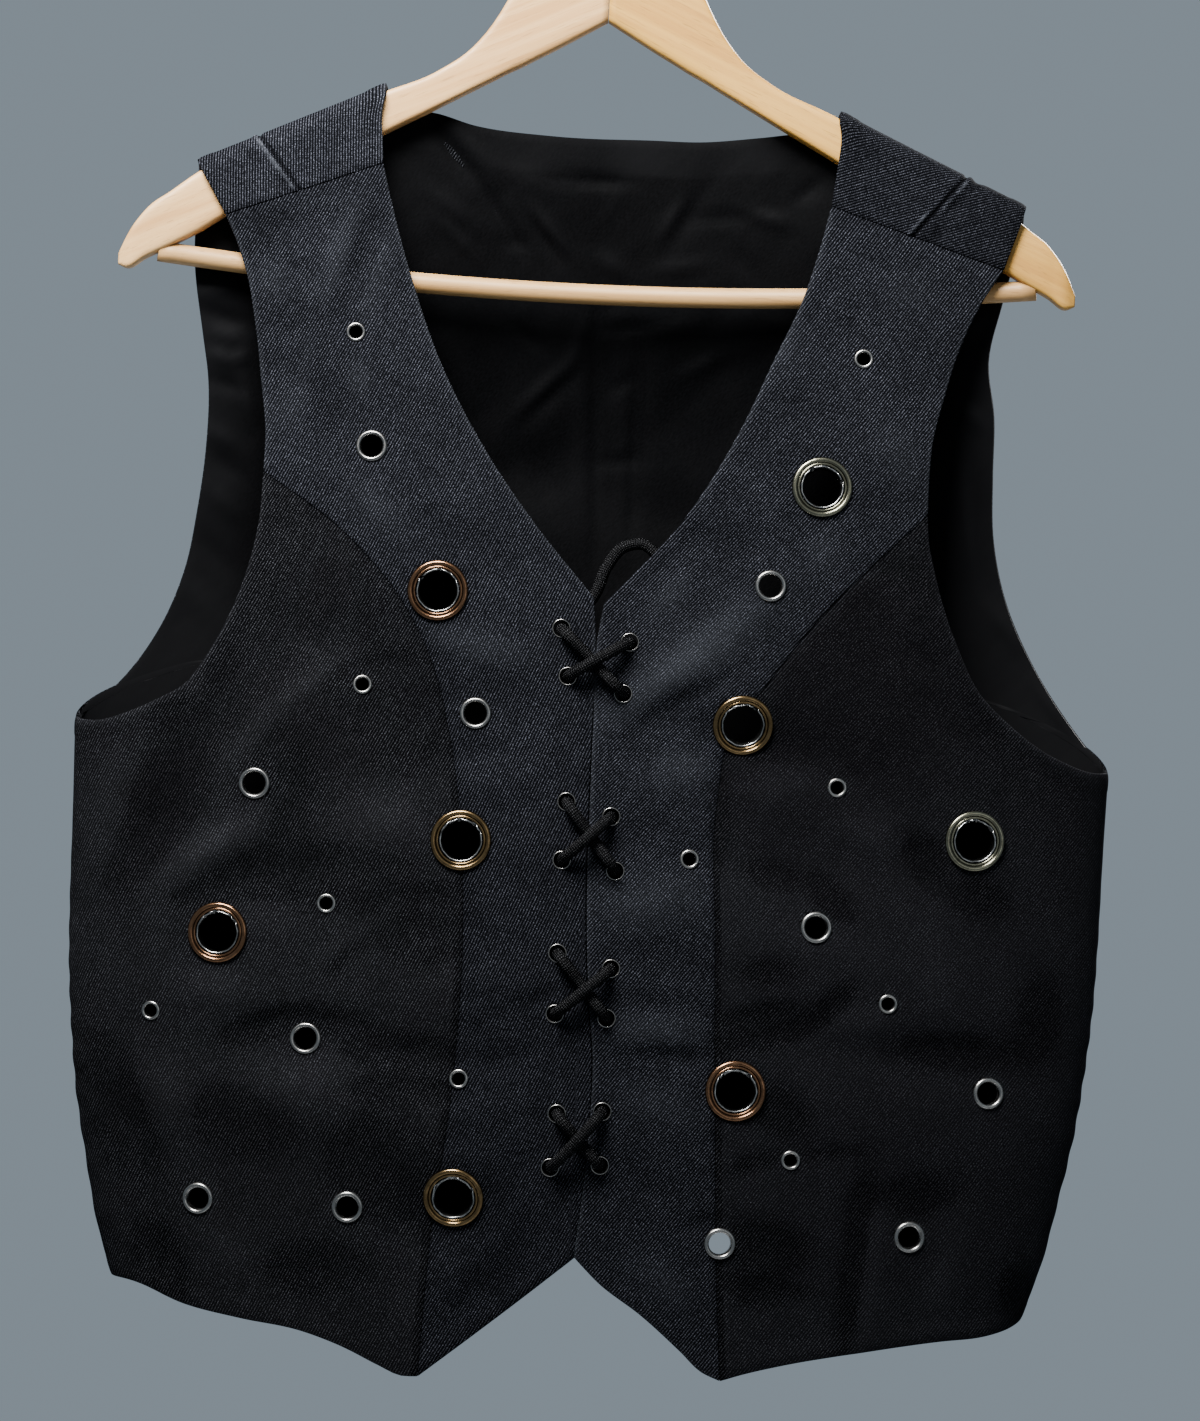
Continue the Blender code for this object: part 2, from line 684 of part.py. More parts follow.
class Eyelet:
    """One eyelet seated on the faceted fronts, with its own straight axis."""

    def __init__(self, name, kind, place, faces):
        self.name, self.kind = name, kind
        self.x, self.drop, self.finish = place
        outer = EYELETS[kind][0]
        spots = [(0, 0)]
        for share in SEAT_RINGS:
            angles = np.arange(SEAT_POINTS) * 2 * math.pi / SEAT_POINTS
            spots += [(share * outer * math.cos(a), share * outer * math.sin(a)) for a in angles]
        found = []
        self.panels = set()
        for over, up in spots:
            start = Vector((self.x + over, RAY_START, up - self.drop)) * MM
            for panel, tree in faces.items():
                hit = tree.ray_cast(start, Vector((0, 1, 0)))[0]
                if hit is not None:
                    found.append(np.array(hit) / MM)
                    self.panels.add(panel)
        found = np.array(found)
        middle = found.mean(axis=0)
        normal = np.linalg.svd(found - middle)[2][2]
        self.normal = normal if normal[1] < 0 else -normal
        heights = (found - middle) @ self.normal
        reach = (np.array([self.x, middle[1], -self.drop]) - middle) @ self.normal
        self.centre = np.array([self.x, middle[1], -self.drop]) - reach * self.normal
        self.face_at = heights.max() + GAP
        self.back_at = heights.min() - DENIM - GAP

    def matrix(self):
        turn = Vector((0, 0, 1)).rotation_difference(Vector(self.normal))
        return Matrix.Translation(Vector(self.centre) * MM) @ turn.to_matrix().to_4x4()

    def profile(self):
        """(radius, height) round the eyelet's wall, from its rim over the front to the washer."""
        outer, bore, barrel, rise, washer, _ = EYELETS[self.kind]
        face, back = self.face_at, self.back_at
        crown_at = bore + CROWN_AT * (outer - bore)
        crown = [(bore, face + CROWN_START * rise), (crown_at, face + rise)]
        edge = [(EDGE_AT * outer, face + EDGE_RISE * rise), (outer, face)]
        if self.kind in THIN_RIMS:
            crown, edge = [(bore, face + rise)], [(outer, face)]
        shank = [(barrel, face), (barrel, back)]
        foot = [(outer, back), (bore, back - washer)]
        return crown + edge + shank + foot

    def build(self):
        shape = bmesh.new()
        verts = [shape.verts.new((r * MM, 0, h * MM)) for r, h in self.profile()]
        ring = [shape.edges.new(pair) for pair in zip(verts, verts[1:] + verts[:1])]
        bmesh.ops.spin(
            shape, geom=verts + ring, cent=(0, 0, 0), axis=(0, 0, 1), dvec=(0, 0, 0),
            angle=2 * math.pi, steps=EYELETS[self.kind][5], use_merge=True,
        )
        bmesh.ops.remove_doubles(shape, verts=shape.verts, dist=1e-6)
        item = finish_mesh(self.name, shape, self.finish)
        item.matrix_world = self.matrix()

    def add_cutter(self, shape):
        radius = (EYELETS[self.kind][2] + BARREL_GAP) * MM
        bmesh.ops.create_cone(
            shape, cap_ends=True, segments=EYELETS[self.kind][5], radius1=radius, radius2=radius,
            depth=PUNCH_DEPTH * MM, matrix=self.matrix(),
        )


def make_eyelets(faces):
    eyelets = []
    for kind, places in EYELET_PLACES.items():
        stem = "lace_eyelet" if kind == "lacing" else f"eyelet_{kind}"
        for number, place in enumerate(places, 1):
            eyelets.append(Eyelet(f"{stem}_{number}", kind, place, faces))
    for eyelet in eyelets:
        eyelet.build()
    for panel in faces:
        shape = bmesh.new()
        for eyelet in eyelets:
            if panel in eyelet.panels:
                eyelet.add_cutter(shape)
        cut(bpy.data.objects[panel], finish_mesh(f"{panel}_holes", shape, None))
    return [eyelet for eyelet in eyelets if eyelet.kind == "lacing"]


# ---- lace ----------------------------------------------------------------------------------


def behind_front(x, drop, depth):
    return np.array([x, outer_y(FRONT, x, drop) + depth, -drop])


def one_pass(eyelet, front_way, back_way):
    """Three points of the lace in an eyelet, from inside the garment to its face."""
    points = []
    passes = ((back_way, PASS_INSIDE), (front_way, PASS_MIDDLE), (front_way, PASS_OUTSIDE))
    for way, (over, out) in passes:
        flat = way - (way @ eyelet.normal) * eyelet.normal
        flat = flat / np.linalg.norm(flat)
        points.append(eyelet.centre + over * flat + out * eyelet.normal)
    return points


def crossing(first, second, over):
    """Points of a strand half way between two eyelets, above or below the other strand."""
    middle = (first.centre + second.centre) / 2
    normal = (first.normal + second.normal) / 2
    if not over:
        return [middle + UNDER_HEIGHT * normal]
    run = second.centre - first.centre
    run = run / np.linalg.norm(run)
    return [middle + OVER_HEIGHT * normal + step * OVER_SPREAD * run for step in (-1, 1)]


def lace_route(eyelets):
    """From the end behind the loop, down the front in crossings, and up to the hidden end."""
    order = [eyelets[number - 1] for number in LACE_ORDER]
    loop = [behind_front(*place) for place in LOOP]
    hidden = [behind_front(*place) for place in HIDDEN_END]
    route = list(loop)
    for index in range(0, len(order), 2):
        enter, leave = order[index], order[index + 1]
        before = loop[-1] if index == 0 else order[index - 1].centre
        after = hidden[0] if index + 2 == len(order) else order[index + 2].centre
        run = leave.centre - enter.centre
        over = run[0] * run[2] > 0
        route += one_pass(enter, run, before - enter.centre)
        route += crossing(enter, leave, over)
        route += one_pass(leave, -run, after - leave.centre)[::-1]
        if index + 2 < len(order):
            middle = (leave.centre + after) / 2
            route.append(middle - RUN_DEPTH * leave.normal)
    return route + hidden


# ---- hanger --------------------------------------------------------------------------------


def arm_rings(hand):
    angles = [(k + 0.5) * 2 * math.pi / ARM_SECTION_POINTS for k in range(ARM_SECTION_POINTS)]
    rings = []
    for reach, top, underside, half in ARM:
        ring = []
        for angle in angles:
            flat = math.copysign(abs(math.cos(angle)) ** ARM_SQUARENESS, math.cos(angle))
            high = math.copysign(abs(math.sin(angle)) ** ARM_SQUARENESS, math.sin(angle))
            drop = (top + underside) / 2 - high * (underside - top) / 2
            ring.append((hand * reach, arm_bow(reach) + flat * half, -drop))
        rings.append(ring)
    return rings


def bar_line(reach):
    x = np.linspace(-reach, reach, BAR_STEPS + 1)
    drop = BAR_DROP - BAR_RISE * (x / BAR_REACH) ** 2
    return np.column_stack([x, arm_bow(x), -drop])


def hook_line():
    centre_drop, radius = HOOK_INNER, HOOK_INNER + HOOK_WIRE
    start, end = (math.radians(angle) for angle in HOOK_ARC)
    points = [(x, 0, -drop) for x, drop in SHANK]
    for angle in np.linspace(start, end, HOOK_ARC_STEPS + 1):
        points.append((radius * math.cos(angle), 0, radius * math.sin(angle) - centre_drop))
    return points


def upright_rod(name, top, end, radius):
    angles = [k * 2 * math.pi / SOCKET_SIDES for k in range(SOCKET_SIDES)]
    rings = []
    for height in (top, (top + end) / 2, end):
        rings.append([(radius * math.cos(a), radius * math.sin(a), height) for a in angles])
    return extruded(name, rings, None)


def make_hanger():
    tube("hanger_bar", bar_line(BAR_REACH), BAR_RADIUS, BAR_SIDES, "wood")
    wire("hanger_hook", hook_line(), HOOK_WIRE, "steel")
    bar_socket = tube("bar_socket", bar_line(BAR_REACH + GAP), BAR_RADIUS + GAP, BAR_SIDES, None)
    shank_socket = upright_rod("shank_socket", -SHANK[3][1], -SHANK[0][1] - GAP, HOOK_WIRE + GAP)
    for hand, word in ((-1, "left"), (1, "right")):
        arm = extruded(f"hanger_arm_{word}", arm_rings(hand), "wood")
        cut(arm, bar_socket)
        cut(arm, shank_socket)


def main():
    clear_scene()
    make_materials()
    faces = make_fronts()
    make_yokes()
    make_back_and_lining()
    lacing = make_eyelets(faces)
    wire("lace", lace_route(lacing), LACE_RADIUS, "cord")
    make_hanger()


main()
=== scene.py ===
import math

import bmesh
import bpy
import numpy as np
from mathutils import Matrix, Vector
from mathutils.bvhtree import BVHTree


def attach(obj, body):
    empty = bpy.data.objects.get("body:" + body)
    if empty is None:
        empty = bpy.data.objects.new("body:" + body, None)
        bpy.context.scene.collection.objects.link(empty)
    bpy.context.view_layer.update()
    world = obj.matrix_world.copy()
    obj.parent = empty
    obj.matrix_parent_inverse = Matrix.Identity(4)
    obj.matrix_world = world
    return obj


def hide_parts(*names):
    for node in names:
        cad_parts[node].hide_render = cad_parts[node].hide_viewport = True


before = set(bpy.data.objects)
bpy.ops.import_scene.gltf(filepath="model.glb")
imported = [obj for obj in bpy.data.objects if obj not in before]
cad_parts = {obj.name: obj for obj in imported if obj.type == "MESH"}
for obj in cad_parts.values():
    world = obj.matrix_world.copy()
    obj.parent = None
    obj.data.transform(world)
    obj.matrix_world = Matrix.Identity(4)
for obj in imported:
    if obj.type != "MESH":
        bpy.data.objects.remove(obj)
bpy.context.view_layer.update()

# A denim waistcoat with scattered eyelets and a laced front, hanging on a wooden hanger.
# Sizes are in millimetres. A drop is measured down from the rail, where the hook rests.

MM = 0.001
FRONT, BACK = -1, 1
LEFT, RIGHT = -1, 1
WORDS = {LEFT: "left", RIGHT: "right"}

# Thicknesses, and the gaps that keep the layers apart.
GAP = 0.3
DENIM = 1.7
LINING_GAP, LINING = 0.6, 0.8
YOKE = 2.4

# The hollow body of the garment: it hangs a little to the right of the hanger's middle.
CENTRE_X = 7.5
HALF_WIDTH, FRONT_DEPTH, BACK_DEPTH = 1, 2, 3
BODY = (  # drop, half width, depth of the front, depth of the back
    (150, 244.0, 27, 25),
    (300, 244.0, 30, 29),
    (400, 244.0, 33, 32),
    (460, 243.3, 35, 34),
    (500, 242.5, 37, 35),
    (540, 242.0, 39, 36),
    (570, 241.0, 40, 36),
    (600, 238.5, 40, 36),
    (630, 234.8, 40, 35),
    (660, 229.0, 39, 34),
    (690, 222.5, 38, 33),
    (715, 214.5, 37, 32),
    (755, 206.0, 36, 31),
)

# How the cloth lies against the hanger's arms and falls away from them below.
RIDGE_START = (105, 151)
RIDGE_SLOPE = 0.468
HANG_OFFSET = {FRONT: 9.8, BACK: 10.6}
FALL_START, FALL_LENGTH = 30, 200
ARM_BOW, ARM_BOW_AT = 18, 225

# Soft folds and creases. A negative height is a trough.
FRONT_FOLDS = (  # x, drop, turn in degrees, half length, half width, height
    (-146, 466, 60, 70, 22, 3.5),
    (-190, 520, 62, 60, 20, -2.5),
    (-112, 413, 4, 34, 15, -3.0),
    (-120, 598, 3, 60, 16, -2.5),
    (-120, 630, 0, 70, 18, 2.0),
    (-128, 262, 88, 60, 13, 2.5),
    (131, 300, 84, 60, 14, 2.0),
    (112, 505, 0, 50, 15, -2.5),
    (150, 592, -4, 60, 16, -2.5),
    (175, 470, -58, 60, 20, 3.0),
    (70, 427, 5, 26, 14, 3.0),
    (82, 457, -8, 26, 13, -2.5),
    (-46, 650, 4, 30, 14, 3.0),
    (-50, 682, -4, 30, 13, -2.5),
)
BACK_FOLDS = (
    (0, 430, 90, 150, 16, 2.5),
    (-95, 520, 78, 110, 20, -2.5),
    (110, 540, 102, 110, 20, -2.5),
    (-60, 330, 12, 80, 16, 2.0),
    (75, 350, -10, 80, 16, 2.0),
    (0, 620, 3, 110, 18, -2.0),
)
FRONT_CREASES = (
    # left side front
    (-166, 437, 77, 17, 4.5, -1.6),
    (-175, 440, -73, 10, 6, 0.7),
    (-120, 430, 35, 17, 6, 1.4),
    (-145, 454, 50, 21, 7, 1.5),
    (-143, 458, 63, 14, 7, -1),
    (-91, 423, 9, 22, 4.5, -1.5),
    (-116, 432, 39, 8, 4, -0.7),
    (-74, 440, -22, 21, 16, -1.9),
    (-70, 464, 8, 19, 6, -1),
    (-192, 490, 71, 35, 11, -2.5),
    (-214, 488, 80, 24, 12, 0.7),
    (-168, 512, 34, 28, 8, 2.4),
    (-171, 532, 16, 13, 4.5, -1.1),
    (-129, 519, 7, 37, 9, -1.9),
    (-87, 494, 13, 19, 12, 1.4),
    (-132, 487, 83, 21, 9, -1),
    (-74, 530, 5, 28, 5, -1.2),
    (-66, 546, 3, 15, 12, -1),
    (-106, 555, 44, 14, 3, 0.6),
    (-103, 559, 43, 13, 3, -0.4),
    (-144, 545, -1, 15, 7, 0.8),
    (-139, 592, 20, 15, 5, -1.5),
    (-112, 588, -2, 19, 4.5, -1.2),
    (-161, 576, -3, 19, 10, 1.5),
    (-70, 601, 0, 24, 6, -1.9),
    (-73, 618, 1, 24, 5, -1.2),
    (-120, 615, 7, 20, 12, 1.2),
    (-150, 636, -7, 21, 12, -1.2),
    (-204, 635, -68, 25, 12, -1.5),
    (-183, 628, -61, 19, 12, 1),
    (-110, 703, 3, 17, 9, -1.5),
    (-182, 704, -66, 16, 8, -1.4),
    (-151, 698, -51, 17, 10, 1),
    (-75, 657, -31, 24, 16, -1.5),
    # left centre front
    (-44, 461, 7, 11, 3.2, -0.9),
    (-34, 474, 10, 21, 9, 1.1),
    (-34, 488, 8, 14, 5, -0.5),
    (-23, 507, 3, 17, 9, 0.7),
    (-11, 573, 25, 11, 3.4, -1.1),
    (-28, 567, 7, 22, 10, 1.5),
    (-29, 602, 10, 23, 5, -1.2),
    (-47, 643, 11, 12, 4, -1),
    (-19, 647, -6, 12, 5, -0.7),
    (-30, 625, 11, 17, 7, 1),
    (-34, 691, 50, 35, 9, 1.5),
    (-21, 700, 45, 23, 8, -1),
    (-46, 414, -10, 24, 9, 1.3),
    (-33, 436, -21, 26, 10, -1),
    (-12, 472, 41, 5, 3, -0.6),
    (-12, 556, -24, 8, 3, -0.6),
    (-9, 628, 17, 7, 3, -0.6),
    # right centre front
    (50, 415, 40, 43, 10, 2.5),
    (43, 437, 35, 22, 7, -1.4),
    (61, 427, 29, 14, 3.6, -1.4),
    (50, 465, 9, 15, 9, 1.4),
    (56, 443, 13, 9, 6, -1),
    (33, 495, 13, 19, 8, -1),
    (38, 526, 10, 26, 12, 1.4),
    (45, 553, 3, 22, 8, -0.8),
    (34, 573, -4, 18, 3.2, -1),
    (44, 586, -2, 23, 8, 1.4),
    (53, 598, -1, 18, 4, -1.6),
    (45, 620, -13, 19, 9, 0.8),
    (41, 658, -8, 19, 9, -1),
    (66, 675, 26, 9, 3.2, -1.1),
    (53, 704, -34, 17, 8, 0.8),
    (38, 371, 38, 29, 9, -1),
    # right side front
    (68, 484, 90, 27, 4, -0.9),
    (99, 450, -5, 29, 9, -1.5),
    (112, 428, -20, 22, 9, -0.8),
    (97, 469, 9, 15, 9, 1),
    (98, 513, -12, 15, 5, -1.1),
    (121, 522, -48, 13, 6, -1),
    (140, 493, -24, 15, 10, 1.4),
    (162, 500, -49, 11, 8, -1.2),
    (157, 408, -29, 16, 7, -1.4),
    (187, 440, -11, 7, 6, -0.8),
    (190, 519, -11, 14, 9, -0.8),
    (87, 578, 16, 18, 4.5, -1.5),
    (95, 586, 19, 27, 5, -1.6),
    (125, 569, 45, 14, 4.5, -1),
    (140, 580, 3, 17, 7, 1.2),
    (181, 590, -3, 27, 8, -1.2),
    (120, 544, -10, 31, 9, 0.8),
    (96, 556, 6, 14, 7, -0.8),
    (174, 557, -85, 24, 9, 0.8),
    (222, 573, 87, 17, 9, -1.2),
    (99, 619, -34, 17, 9, -1.2),
    (128, 639, 7, 15, 3, -0.6),
    (91, 645, 17, 14, 4, -0.6),
    (166, 657, 7, 20, 9, -1),
    (99, 684, -9, 17, 10, -1.4),
    (99, 702, -7, 24, 3, -0.7),
    (96, 705, -13, 11, 6, -1.2),
    (141, 693, 86, 40, 6, -1.4),
    (148, 694, 86, 38, 8, 1),
    (183, 698, 84, 24, 9, 0.8),
    (218, 704, -76, 11, 6, -1.7),
    # left strap
    (-111, 237, 72, 27, 5, -1.5),
    (-103, 240, 77, 25, 6, 0.8),
    (-120, 232, 75, 25, 7, 1),
    (-121, 305, -81, 27, 9, -1.2),
    (-109, 291, 78, 8, 7, 1),
    (-149, 222, -2, 10, 8, -0.8),
    (-151, 245, 39, 8, 9, 0.8),
    (-138, 266, 17, 13, 6, -0.7),
    (-131, 278, 85, 13, 6, 0.6),
    (-90, 299, 48, 14, 8, -0.8),
    (-138, 304, 51, 17, 9, 0.7),
    (-63, 362, -38, 15, 9, -0.8),
    (-98, 349, -39, 19, 8, 0.7),
    # right strap
    (99, 292, 15, 7, 7, -1),
    (75, 358, 5, 19, 8, -1.4),
    (44, 354, -21, 16, 8, -0.8),
    (120, 259, -71, 12, 7, -0.6),
    (146, 239, -13, 12, 8, 0.6),
    (144, 314, -67, 14, 9, 0.8),
    (90, 269, 69, 12, 8, 0.7),
    (111, 361, -76, 8, 8, 0.8),
    (43, 383, 51, 17, 9, 1.4),
    (55, 378, 44, 17, 6, -0.8),
    (139, 366, -9, 10, 4, -1.4),
)
BACK_CREASES = (
    (-110, 230, 70, 40, 9, -0.8),
    (120, 235, -70, 40, 9, -0.8),
    (-150, 440, 40, 46, 8, 0.9),
    (165, 445, -40, 46, 8, 0.9),
    (-60, 250, -8, 60, 9, 0.7),
    (60, 262, 10, 50, 9, -0.7),
    (-170, 560, 82, 60, 9, 0.7),
    (175, 570, -80, 60, 9, -0.7),
    (40, 520, 84, 70, 9, 0.8),
    (-40, 600, 88, 60, 8, -0.7),
    (90, 650, -6, 46, 9, 0.6),
    (-90, 660, 8, 46, 9, 0.6),
)
FOLDS = {FRONT: FRONT_FOLDS, BACK: BACK_FOLDS}
CREASES = {FRONT: FRONT_CREASES, BACK: BACK_CREASES}

# Creases of the lining, which stand away from the back.
LINING_CREASES = (  # x, drop, turn in degrees, half length, half width, height
    # at the neck and down the middle
    (-71, 179, -48, 17, 3.5, -1.6),
    (-49, 206, -52, 21, 4, -1.4),
    (-61, 177, -47, 15, 4, 1),
    (-69, 206, -34, 16, 4, 0.9),
    (-67, 219, -42, 12, 3, 0.9),
    (-22, 214, -48, 13, 3, 1.3),
    (-27, 217, -50, 13, 3, -1),
    (-40, 220, -2, 8, 3, -0.8),
    (-4, 189, 0, 18, 3, -1.3),
    (-34, 191, -18, 14, 5, 0.8),
    (34, 207, 58, 10, 3, 1.2),
    (42, 204, 61, 15, 5, -0.9),
    (59, 204, 5, 16, 3, -0.8),
    (80, 204, -12, 11, 3, 1.3),
    (39, 228, 10, 13, 3, 0.9),
    (97, 191, 39, 8, 4, -0.9),
    (69, 225, -49, 10, 5, -0.8),
    (6, 228, -24, 11, 4, 0.8),
    (-23, 287, 45, 18, 3, 1.5),
    (-20, 291, 46, 17, 3, -1),
    (-8, 265, 71, 13, 3, 1),
    (-33, 263, -30, 11, 3, -0.9),
    (-5, 311, -87, 51, 5, 0.8),
    (4, 307, -88, 62, 4, -1),
    (14, 306, -88, 49, 5, 0.5),
    (22, 309, -90, 49, 3, -1.1),
    (29, 297, 90, 33, 6, 0.6),
    (15, 258, 8, 11, 3, -1.4),
    (15, 283, 31, 7, 3, -0.9),
    (52, 273, 28, 13, 3, 1.1),
    (39, 257, 15, 15, 4, 0.8),
    (62, 271, -78, 20, 6, -1),
    (49, 314, -69, 21, 7, -0.8),
    (-47, 297, -71, 24, 8, -0.8),
    (-20, 334, -73, 20, 7, -1.2),
    (-66, 273, -63, 23, 8, 0.9),
    (15, 320, 7, 11, 3, -0.8),
    (88, 248, -11, 7, 5, -0.9),
    # at the left armhole
    (-177, 249, 8, 8, 3, 1.2),
    (-174, 262, -14, 11, 3.2, -1.4),
    (-175, 281, -21, 6, 3, 1.6),
    (-166, 280, 39, 4, 3, 1.5),
    (-173, 271, -9, 8, 3, 1.2),
    (-173, 293, -16, 10, 3.4, -1.4),
    (-163, 299, -73, 10, 3, 1.3),
    (-174, 318, -28, 10, 4, 1.2),
    (-170, 332, -36, 10, 4, -1.2),
    (-172, 348, -42, 12, 5, 1.2),
    (-177, 371, -48, 13, 5, -1),
    (-182, 395, -61, 11, 6, 1),
    # at the right armhole
    (178, 236, 21, 10, 4, -1.2),
    (176, 251, 44, 10, 4, 1.2),
    (179, 292, -36, 10, 4, 1.2),
    (180, 337, -81, 30, 4, 1),
    (189, 345, -80, 26, 5, -1),
    # lower down
    (-186, 252, -14, 12, 4, 1.2),
    (206, 394, -44, 18, 5, 1.0),
    (226, 428, -50, 14, 4, 0.8),
    (-70, 450, 80, 120, 9, 1.2),
    (80, 470, -80, 120, 9, 1.2),
    (0, 560, 88, 100, 9, 1.0),
)

# Outlines, as (x, drop). Left is the side at -X.
YOKE_SEAM = {LEFT: ((-102, 188), (-174, 216)), RIGHT: ((108, 199), (189, 226))}
RIDGE_ENDS = {LEFT: (-105, -189), RIGHT: (113, 199)}
NECK_EDGE = {
    LEFT: ((-102, 188), (-97, 207), (-87, 239), (-71, 280), (-51, 316), (-21, 357), (5.5, 387)),
    RIGHT: ((108, 199), (103, 221), (97, 242), (84, 273), (70, 306), (42, 354), (10.3, 389.5)),
}
CENTRE_EDGE = {
    LEFT: (
        (5.5, 387), (7.2, 407), (7.3, 444), (7.4, 481), (8, 527), (11, 573), (14, 600),
        (13.78, 640), (10.08, 692.5),
    ),
    RIGHT: (
        (10.3, 389.5), (7.8, 407), (7.7, 444), (7.8, 481), (8.4, 527), (11.4, 573), (14.4, 600),
        (13.82, 640), (10.11, 692.5),
    ),
}
ARMHOLE_TOP = {
    LEFT: (
        (-174, 216), (-168, 229), (-163, 243), (-158, 266), (-154, 293), (-151, 316), (-151, 335),
    ),
    RIGHT: ((189, 226), (180, 241), (170, 265), (164, 288), (160, 307), (159, 325), (159, 342)),
}
ARMHOLE_LOW = {
    LEFT: (
        (-236, 453), (-216, 452), (-198, 444), (-182, 434), (-174, 422), (-165, 405), (-156, 379),
        (-152, 358), (-151, 335),
    ),
    RIGHT: (
        (251, 458), (234, 456), (218, 449), (201, 437), (189, 426), (174, 399), (163, 367),
        (160, 354), (159, 342),
    ),
}
PRINCESS_SEAM = {
    LEFT: (
        (-151, 335), (-113, 361), (-84, 392), (-69, 419), (-58, 456), (-51, 502), (-48, 553),
        (-50, 618), (-57, 687), (-60, 751),
    ),
    RIGHT: (
        (159, 342), (137, 364), (110, 393), (89, 422), (71, 450), (67, 478), (69, 548), (72, 617),
        (77, 709), (80, 747),
    ),
}
HEM_CENTRE = {
    LEFT: ((-60, 751), (-32, 728), (-14, 713), (10.08, 692.5)),
    RIGHT: ((80, 747), (71, 743), (61, 734), (42, 718), (22, 704), (10.11, 692.5)),
}
HEM_SIDE = {
    LEFT: (
        (-207, 714), (-190, 717), (-171, 724), (-143, 729), (-115, 733), (-96, 739), (-78, 747),
        (-68, 751), (-60, 751),
    ),
    RIGHT: (
        (221, 716), (212, 721), (200, 724), (181, 726), (144, 732), (108, 739), (89, 744),
        (80, 747),
    ),
}
ARMHOLE_BACK = {
    LEFT: (
        (-189, 201), (-189, 238), (-184, 271), (-181, 290), (-181, 324), (-184, 352), (-189, 381),
        (-200, 410), (-221, 440), (-236, 453),
    ),
    RIGHT: (
        (199, 206), (191, 240), (186, 267), (190, 293), (191, 321), (193, 350), (200, 378),
        (213, 406), (236, 440), (251, 458),
    ),
}
BACK_NECK = (
    (-105, 160.3), (-92, 160.5), (-81, 161), (-61, 166), (-25, 169),
    (24, 169), (46, 169), (74, 166), (93, 163.5), (113, 164),
)
BACK_HEM = ((-207, 714), (-160, 696), (-80, 686.5), (7, 681.5), (84, 682), (168, 693), (221, 716))

# Steps of lines, and of the arc that lays the body flat, then the step that slopes are taken over.
SPACING_STEPS, ROUND_SPACING = 40, 150
FLATNESS, QUARTER_STEPS = 0.16, 200
SMALL = 0.002
MERGE = 0.001  # verts nearer than this are one

# Rows and columns of the pieces, and how many times finer the cloth is.
FINER, FINER_BACK, FINER_LINING = 9, 8, 12
PANEL_COLUMNS = 8
TOP_STEPS, SEAM_STEPS = 7, 15
NECK_STEPS, CENTRE_STEPS = 9, 13
SIDE_COLUMNS = 7
BACK_SEAM_COLUMNS, BACK_NECK_COLUMNS = 3, 10
BACK_ARMHOLE_ROWS, BACK_SIDE_ROWS = 8, 10
YOKE_COLUMNS, YOKE_LEG_ROWS, YOKE_ARC_ROWS = 6, 3, 8
YOKE_FINER, YOKE_ARC_FINER = 20, 6
YOKE_ARC_HEIGHT = 9
YOKE_OFFSET = {FRONT: 10.3, BACK: 10.9}

# Seams and turned edges: how deep they lie, how far that reaches, and the gathers beside them.
SEAM_GAP = 0.03
SEAM_DIP, SEAM_REACH = 0.4, 1.5
SEAM_SHADE, SEAM_SHADE_REACH = 0.25, 1.1
# Turned edges are made paler: partly from rubbing, partly painted sheen.
EDGE_DIP, EDGE_REACH, EDGE_RUB_AND_SHEEN = 0.5, 1.6, 0.06
EDGE_ROUND, EDGE_ROUND_STEPS, EDGE_ROUND_ANGLE = 0.55, 3, 55
ALLOWANCE, ALLOWANCE_RISE, ALLOWANCE_STEP = 9.0, 0.3, 2
GATHER_LENGTH, GATHER_REACH, GATHER_RISE, GATHER_FROM = 17.0, 9.0, 0.28, 2
GATHER_SWAY, GATHER_SWAY_LENGTH, GATHER_BUNCHES = 1.7, 31, 47

# Tone: above 0 the cloth is paler, from rubbing and from painted light; below 0 it is darker,
# mostly painted shade. On the fronts the crease ridges are paler from rubbing and the troughs are
# painted shade.
RIDGE_RUB, TROUGH_SHADE = 0.035, 0.13
# Painted light and shade low down on each front piece: darker on the left centre, paler on the
# side fronts.
LOW_FROM, LOW_FADE = 400, 150
LOW_PAINTED_LIGHT = {
    "front_centre_left": -0.16, "front_centre_right": 0.0,
    "front_side_left": 0.03, "front_side_right": 0.06,
}
FACING, FACING_FADE = 19.0, 3  # the band below the back neck
FACING_WAVES = 13, 29
# Painted sheen on the lining's crease ridges and on the band below the neck, and painted light
# towards the armholes.
CREASE_PAINTED_SHEEN, FACING_PAINTED_SHEEN, ARMHOLE_PAINTED_LIGHT = 0.12, 0.5, 0.7
ARMHOLE_FROM, ARMHOLE_FADE = 150, 30

# Twill: the wales' slope in degrees, at drops down each piece.
WALE, WALE_SWAY, WALE_DASH = 1.26, 0.1, 0.9
WALE_TURN_STEPS = 400
WALE_SLOPES = {
    "front_centre_left": ((150, 62), (300, 63), (450, 67), (550, 67), (760, 60)),
    "front_centre_right": ((190, 55), (300, 53), (400, 47), (480, 48), (540, 52), (760, 53)),
    "front_side_left": ((330, 61), (420, 61), (500, 64), (760, 64)),
    "front_side_right": ((330, 50), (500, 50), (640, 54), (760, 54)),
    "back_panel": ((140, 60), (760, 60)),
    "back_lining": ((140, 45), (760, 45)),
    "yoke_left": ((0, 92), (400, 92)),
    "yoke_right": ((0, 19), (400, 19)),
}

